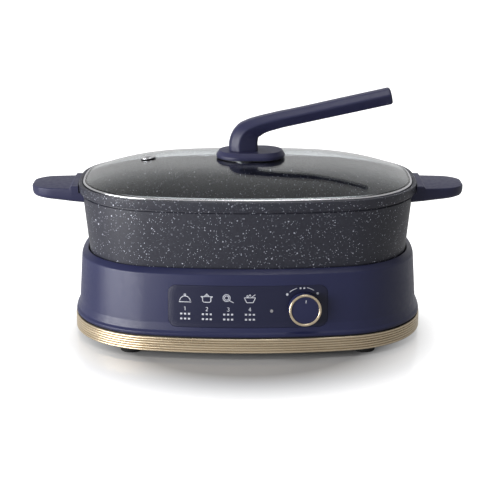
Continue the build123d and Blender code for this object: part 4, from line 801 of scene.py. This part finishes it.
def pot_handle(name, side):
    """One pot handle; side is 1 for the right and -1 for the left."""
    stations = np.concatenate([
        linspace(handle_root, collar_start - 0.3, 4),
        linspace(collar_start, collar_stop, 7),
        linspace(collar_stop + 1, handle_end - nose, 7),
        handle_end - nose * (1 - sin(linspace(0.12, pi / 2, 22))),
    ])
    rows = []
    for x in stations:
        out = max(0.0, (x - collar_start) / (handle_end - collar_start))
        plan = np.sqrt(1 - np.clip((x - handle_end + nose) / nose, 0, 0.9999) ** 2)
        width = handle_wide + (tip_wide - handle_wide) * out - 2 * nose * (1 - plan)
        climb = np.clip((collar_stop - x) / (collar_stop - collar_start), 0, 1)
        top = handle_top + collar_rise * climb**2 * (3 - 2 * climb) - closing(x, top_close)
        under = wall_under + (x - wall_x) * under_slope + closing(x, under_close)
        outline = grip_section(width, top, under)
        rows.append(np.column_stack([np.full(len(outline), x * side), outline]))
    return skin(name, capped(np.array(rows)), crease=60)


def capped(rows):
    """The same rows with each end drawn to one point in its middle."""
    first, last = (np.broadcast_to(rows[i].mean(0), rows[i].shape)[None] for i in (0, -1))
    return np.concatenate([first, rows, last])


def pot_clearance():
    """The pot's outside, grown by a handle's gap: a little at the wall, more at the band."""
    wall_gap, band_gap, over = 0.05, 0.6, 3
    return skin("pot_clearance", around([
        (pot_foot_grow, pot_low, 0), (pot_foot_grow + wall_gap, pot_low, 1),
        (wall_grow + wall_gap, band_low - band_gap, 1), (band_gap, band_low - band_gap, 1),
        (band_gap, pot_high + over, 1), (band_gap, pot_high + over, 0),
    ]))


for name, side, node in (("right_grip", 1, "right_handle"), ("left_grip", -1, "left_handle")):
    fit(cut(pot_handle(name, side), pot_clearance()), "pot", "navy_handle", node)

# %% [markdown]
# ## The lid's glass
# A flat margin and a shallow dome, whose rise is a power law of the share of the outline: nearly
# flat on top and steep near the margin. Both faces are the same surface, one glass thickness
# apart, joined by a round edge.

# %% The glass
glass_low = heights_of("lid_glass")[0]
glass_thick, margin_drop, glass_grow, edge_soft = 3.2, 1.0, -5.1, 0.8
glass_top = glass_low + glass_thick
margin_top = glass_top - margin_drop
dome_rise, dome_power, flat_share = 17.9, 3.4, 0.21
dome_grow, dome_gap = glass_grow - 3.0, 0.6
dome_rings, margin_rings, round_rings = 40, 5, 8


def dome(share):
    """Rise over the margin at a share of the dome's outline; level inside flat_share."""
    return dome_rise * (1 - np.maximum(share, flat_share) ** dome_power)


def glass_face(margin_level, dome_level):
    """Rows of one face from the glass edge over the margin to the middle: (grow, height, share)."""
    grow = linspace(glass_grow - edge_soft, dome_grow + dome_gap, margin_rings)
    share = sin(linspace(pi / 2, 0, dome_rings))
    return np.concatenate([
        [(out, margin_level, 1) for out in grow],
        np.column_stack([np.full(dome_rings, dome_grow), dome_level + dome(share), share]),
    ])


edge_turn = linspace(pi / 2, -pi / 2, round_rings)
edge_out = glass_grow - edge_soft * (1 - cos(edge_turn))
edge_level = glass_low + (margin_top - glass_low) / 2 * (1 + sin(edge_turn))
glass_rows = np.concatenate([
    glass_face(margin_top, glass_top)[::-1],
    np.column_stack([edge_out, edge_level, np.ones(round_rings)]),
    glass_face(glass_low, glass_low),
])
lid_glass = skin("lid_dome", around(glass_rows), crease=60)

# %% [markdown]
# ### Where the steam vent sits
# The vent is an eyelet in a rubber grommet, square to the glass, so its place and its axis come
# from the dome's formula: the height at its share of the outline, and the slope there.

# %% The vent
vent_spot = (sum(corners_of("steam_vent")) / 2)[:2]
dome_half = np.array([pot_length, pot_width]) / 2 + dome_grow
vent_share = hypot(*(vent_spot / dome_half))
vent_slope = dome_rise * dome_power * vent_share ** (dome_power - 1) / dome_half[0]
vent_axis = np.array([-vent_slope, 0, 1]) / hypot(vent_slope, 1)
vent_lift, vent_bore, bore_reach = 0.1, 6, 9
vent_seat = np.array([*vent_spot, glass_top + dome(vent_share) + vent_lift])


def at_vent(name, profile, wrap_rows=True, **options):
    """A piece lathed about the vent's own axis."""
    return skin(name, lathe(profile, vent_seat, vent_axis, **options), wrap_rows)


bore = [(0, -bore_reach), (vent_bore, -bore_reach), (vent_bore, bore_reach), (0, bore_reach)]
cut(lid_glass, at_vent("vent_bore", bore, wrap_rows=False, count=48))
fit(lid_glass, "lid", "clear_glass", "lid_glass")

seal = at_vent("vent_seal", soft_profile([
    (4.5, -3.9, 0), (6.7, -3.9, 0.3), (6.0, -3.1, 0), (6.0, 0, 0), (7.4, 0.1, 0.3),
    (7.2, 0.9, 0.3), (4.5, 0.9, 0),
]))
fit(seal, "lid", "seal_rubber", "vent_grommet")
eyelet = at_vent("vent_eyelet", soft_profile([
    (2.0, -4.8, 0), (5.6, -4.8, 0.3), (5.2, -4.2, 0.3), (4.4, -3.8, 0.2), (4.4, 0.9, 0.1),
    (8.0, 0.9, 0.3), (7.6, 1.7, 0.4), (4.2, 1.5, 0.8), (2.2, 0.7, 0.4),
]))
fit(eyelet, "lid", "rim_steel", "steam_vent")

# %% [markdown]
# ### The steel rim
# Sheet steel rolled round the glass edge: a slim round bead, a short lip over the glass and a
# skirt that drops inside the pot. The bead's upper half catches the light as one thin line.

# %% The rim
rim_low = heights_of("lid_rim")[0]
rim_grow, skirt_grow, lip_reach = -4.6, -9.0, 2.0
bead, bead_high, sheet = 1.0, 151.7, 0.6
seat = rim_low + 8.9
lip_high, lip_in = bead_high + bead, rim_grow - lip_reach
rim_profile = soft_profile([
    (lip_in, lip_high, 0.25), (rim_grow, lip_high, 0.9), (rim_grow, bead_high - bead, 0.9),
    (rim_grow - 0.7, seat, 0.3), (skirt_grow, seat, 0.5), (skirt_grow, rim_low, 0.25),
    (skirt_grow - sheet, rim_low, 0.25), (skirt_grow - sheet, seat + sheet, 0.5),
    (rim_grow - 1.0, seat + sheet, 0.2), (rim_grow - 1.0, lip_high - sheet, 0.2),
    (lip_in, lip_high - sheet, 0.25),
], closed=True)
fit(skin("rim_ring", around(rim_profile), True, crease=60), "lid", "rim_steel", "lid_rim")

# %% [markdown]
# ## The lid's handle
# A stadium-shaped mount holds a post that bends over into a long arm: a smooth line through a few
# stations, with a section square to it. Of its six soft corners the widest give the ridge line.

# %% The mount
mount_low, mount_high = corners_of("handle_mount")
mount_x = (mount_low[0] + mount_high[0]) / 2
mount_long, mount_wide, _ = mount_high - mount_low
mount_inset, mount_slope, mount_steps = 22.9, 2.8, 160


def stadium_rows(profile, count):
    """Rows of a stadium outline, a run capped by half circles, from (inset, height) pairs."""
    angle = linspace(0, 2 * pi, count, endpoint=False)
    run = (mount_long - mount_wide) / 2
    rows = []
    for inset, height in profile:
        radius = mount_wide / 2 - inset
        x = np.sign(cos(angle)) * run * min(1, (radius + 8) / (mount_wide / 2))
        x = x + radius * cos(angle)
        rows.append(np.stack([mount_x + x, radius * sin(angle), np.full(count, height)], 1))
    return np.array(rows)


mount_profile = soft_profile([
    (mount_inset, mount_low[2], 0), (0.0, mount_low[2], 0.5), (0.0, mount_low[2] + 3.0, 0.9),
    (mount_slope, mount_high[2], 0.7), (mount_inset, mount_high[2], 0),
])
mount = skin("mount_plate", stadium_rows(mount_profile, mount_steps))
fit(mount, "lid", "navy_handle", "handle_mount")


# %% The handle's line
def smooth_line(stations, per_span=14):
    """Cubic through the stations' columns; slopes come from the neighbours on both sides."""
    stations = np.asarray(stations, float)
    walked = np.concatenate([[0], np.cumsum(hypot(*np.diff(stations[:, :2], axis=0).T))])
    slope = np.gradient(stations, walked, axis=0)
    spans = [linspace(a, b, per_span) for a, b in zip(walked, walked[1:])]
    fine = np.unique(np.concatenate(spans))
    span = np.clip(np.searchsorted(walked, fine, side="right") - 1, 0, len(walked) - 2)
    length = (walked[span + 1] - walked[span])[:, None]
    part = (fine - walked[span])[:, None] / length
    return (
        (2 * part**3 - 3 * part**2 + 1) * stations[span]
        + (part**3 - 2 * part**2 + part) * length * slope[span]
        + (3 * part**2 - 2 * part**3) * stations[span + 1]
        + (part**3 - part**2) * length * slope[span + 1]
    )


post_x, post_z = -4.0, mount_high[2]
arm_angle, tip_gap = 12.4, 4.2
arm_slope = np.tan(radians(arm_angle))
arm_start = np.array([41.5, post_z + 32.2])
arm_stop_x = corners_of("lid_handle")[1][0] - tip_gap
arm_stop = np.array([arm_stop_x, arm_start[1] + (arm_stop_x - arm_start[0]) * arm_slope])
handle_bend = [  # forward of the post, over the mount, climb in degrees, thickness, width
    (0.0, -0.4, 90, 28.4, 27.0), (0.0, 8.8, 89, 28.0, 26.4), (1.95, 14.8, 73, 26.0, 25.7),
    (5.3, 19.4, 57, 23.0, 25.2), (10.1, 22.1, 44, 20.3, 24.8), (17.1, 25.0, 28.6, 17.2, 24.5),
    (20.8, 26.2, 23.4, 16.5, 24.4), (29.0, 28.4, 17.4, 15.8, 24.2), (37.3, 30.5, 14.1, 15.4, 24.1),
]
handle_stations = [(post_x + ahead, post_z + up, *rest) for ahead, up, *rest in handle_bend]
handle_stations += [
    (*arm_start, arm_angle, 15.2, 24.0),
    (*(arm_start + arm_stop) / 2, arm_angle, 15.4, 23.5),
    (*arm_stop, arm_angle, 15.6, 23.0),
]
handle_line = smooth_line(handle_stations)

# %% The handle's skin
# Corners as shares of the width and the thickness, and their radii as shares of the thickness.
section_corners = np.array(
    [(-0.5, 0.15), (-0.26, -0.5), (0.26, -0.5), (0.5, 0.15), (0.25, 0.5), (-0.25, 0.5)]
)
section_radii = np.array([0.13, 0.15, 0.15, 0.13, 0.28, 0.28])


def handle_rows(line):
    """One closed soft section per station: across along Y, outwards square to the climb."""
    x, z, climb, thick, wide = line.T
    sections = np.array([
        soften(section_corners * (w, t), section_radii * t, closed=True)
        for w, t in zip(wide, thick)
    ])
    across, out = sections[..., 0], sections[..., 1]
    lean = radians(climb)[:, None]
    return np.stack([x[:, None] - sin(lean) * out, across, z[:, None] + cos(lean) * out], -1)


tip_soft, tip_rows = 2.6, 9
turn = linspace(0, pi / 2, tip_rows)[1:]
tip = np.repeat(handle_line[-1:], len(turn), axis=0)
lean = radians(arm_angle)
tip[:, :2] += tip_soft * np.outer(sin(turn), (cos(lean), sin(lean)))
tip[:, 3:] -= 2 * tip_soft * (1 - cos(turn))[:, None]
handle_grid = capped(handle_rows(np.concatenate([handle_line, tip])))
fit(skin("handle_arm", handle_grid, crease=60), "lid", "navy_handle", "lid_handle")

# %% [markdown]
# ## The knob
# A hollow cap with a metal bezel round an inset face, both lathed about the joint's axis, so they
# turn true. The short pointer line is the solid's own.

# %% The knob
knob_lift, knob_high, ring_deep = 1.7, 11.6, 1.1
knob_radius, knob_inner, ring_out, ring_in = 15.2, 12.8, 15.3, 13.0
ring_low, ring_high = knob_high - ring_deep, knob_high - 0.1
face_high = knob_high - 1.0
knob_steps = 128
cap_profile = soft_profile([
    (knob_inner, knob_lift, 0.3), (knob_radius, knob_lift, 0.6), (knob_radius, ring_low, 0.3),
    (ring_in, ring_low, 0.1), (ring_in, face_high, 0.1), (0, face_high, 0),
    (0, face_high - 2.4, 0), (knob_inner, face_high - 3.4, 0.5),
])
cap = skin("knob_cap", lathe(cap_profile, knob_point, knob_axis, knob_steps), wrap_rows=True)
fit(cap, "knob", "navy_shell", "knob_body")

bezel_profile = soft_profile([
    (ring_out, ring_low, 0.1), (ring_out, ring_high - 0.4, 0.3), (ring_out - 0.4, ring_high, 0.3),
    (ring_in + 0.4, ring_high, 0.3), (ring_in, ring_high - 0.5, 0.2), (ring_in, ring_low, 0),
], closed=True)
bezel = skin("knob_bezel", lathe(bezel_profile, knob_point, knob_axis, knob_steps), wrap_rows=True)
fit(bezel, "knob", "gold_trim", "knob_ring")

# %% [markdown]
# ## Pieces that keep their solids
# Screws, posts, the plate, the tray, the boards and the wires have the right shape already, and
# only get the finish of their slot, whose name the frame's own material carries.

# %% Finishes by slot
for solid in nodes.values():
    if not solid.hide_render:
        for holder in solid.material_slots:
            holder.material = finishes[holder.material.name.split(".")[0]]

# %% [markdown]
# ## Studio
# The floor is pale and glossy near the object and turns into plain white further out. The darker
# oval it keeps round the object, set forward of its middle, is painted shade that draws out the
# real shadow. The white is given only to rays from the camera and, in part, to mirrored and
# refracted rays, so it adds no light to the object. A low soft box on the left gives the walls
# their broad gleam, a small one above draws the edges, and a large one above and behind throws a
# short shadow forwards. That one isn't mirrored, so the glass shows only the backdrop.

# %% White that is seen but lights nothing
floor_mirrored, world_mirrored, sky_mirrored = 0.15, 0.55, 0.4


def seen_white(tree, mirrored_share):
    """Share of white that a ray sees: all of it for the camera and through clear glass, a given
    part when mirrored, and none through glass after light was scattered or mirrored."""
    path = place(tree, "LightPath").outputs
    bounces = reckon(tree, "ADD", path["Diffuse Depth"], path["Glossy Depth"])
    through = reckon(tree, "SUBTRACT", path["Is Transmission Ray"], bounces, clamp=True)
    mirrored = reckon(tree, "MULTIPLY", path["Is Glossy Ray"], mirrored_share)
    direct = reckon(tree, "MAXIMUM", path["Is Camera Ray"], through)
    return reckon(tree, "MAXIMUM", direct, mirrored)


# %% Floor
floor_size = 8000.0
floor_grey = (0.42, 0.42, 0.425, 1)
white = (1, 1, 1, 1)


def floor_finish():
    """Glossy pale floor whose glow rises with the distance from a middle set forward of the object,
    to full white. The darker oval left round the object is painted shade that draws out the real
    shadow.
    """
    finish, tree, shader = new_finish("studio_floor", Base_Color=floor_grey, Roughness=0.16,
                                      IOR=1.5, Emission_Color=white)
    point = place(tree, "TexCoord").outputs["Object"]
    # The oval's middle lies forward of the object, so the floor stays darker in front of it:
    # painted shade round the real shadow.
    painted_shade_oval = place(tree, "Mapping", Vector=point, Scale=(4.88, 5.0, 1), Location=(0, 0.175, 0))
    length = place(tree, "VectorMath", operation="LENGTH")
    tree.links.new(painted_shade_oval.outputs["Vector"], length.inputs[0])
    glow = rescale(tree, length.outputs["Value"], (0.6, 1.06), (0.0, 1.0))
    seen = reckon(tree, "MULTIPLY", glow, seen_white(tree, floor_mirrored))
    feed(tree, shader, Emission_Strength=seen)
    return finish


floor_corners = np.array([[(-1, -1, 0), (1, -1, 0)], [(-1, 1, 0), (1, 1, 0)]]) * floor_size / 2
floor = object_from("floor", floor_corners, grid_faces(2, 2, wrap_columns=False))
floor.data.materials.append(floor_finish())

# %% Lights, in metres and watts
lamp_aim = Vector((0, 0, 0.08))


def soft_box(name, spot, size, power):
    """Rectangular area light that looks at the object."""
    lamp = bpy.data.lights.new(name, "AREA")
    lamp.shape, lamp.size, lamp.size_y, lamp.energy = "RECTANGLE", *size, power
    thing = add_object(name, lamp)
    thing.location = spot
    thing.rotation_euler = (lamp_aim - Vector(spot)).to_track_quat("-Z", "Y").to_euler()
    return thing


soft_box("key_left", (-1.22, -0.82, 0.26), (1.5, 0.5), 35)
soft_box("top", (0.1, -0.15, 1.4), (0.5, 0.4), 5.5)
top_back = soft_box("top_back", (-0.2, 0.85, 1.4), (1.6, 1.0), 20)
top_back.visible_glossy = top_back.visible_transmission = False

# %% World: dim for the object, white for the camera, darker upwards where mirrored
world = bpy.data.worlds.new("studio")
scene.world = world
world.use_nodes = True
tree = world.node_tree
direction = place(tree, "TexCoord").outputs["Generated"]
height = place(tree, "SeparateXYZ", Vector=direction).outputs["Z"]
backdrop = rescale(tree, height, (0.3, 0.6), (world_mirrored, sky_mirrored))
strength = rescale(tree, seen_white(tree, backdrop), (0.0, 1.0), (0.2, 1.0))
feed(tree, tree.nodes["Background"], Color=white, Strength=strength)

# %% Camera
distance, look_down = 1.5, radians(15.13)
picture_side, aim_column, aim_row = 480, 247.58, 226.51  # where the aim stands in the picture
camera_data = bpy.data.cameras.new("camera")
camera = add_object("camera", camera_data)
target = Vector((0, 0, 0.1))
away = Vector((0, -distance * cos(look_down), distance * sin(look_down)))
camera.location = target + away
camera.rotation_euler = (-away).to_track_quat("-Z", "Y").to_euler()
camera_data.sensor_width = 36.0
camera_data.lens = 112.5
camera_data.shift_x = (picture_side / 2 - aim_column) / picture_side
camera_data.shift_y = (aim_row - picture_side / 2) / picture_side
camera_data.clip_end = 50
scene.camera = camera
scene.view_settings.view_transform = "Standard"
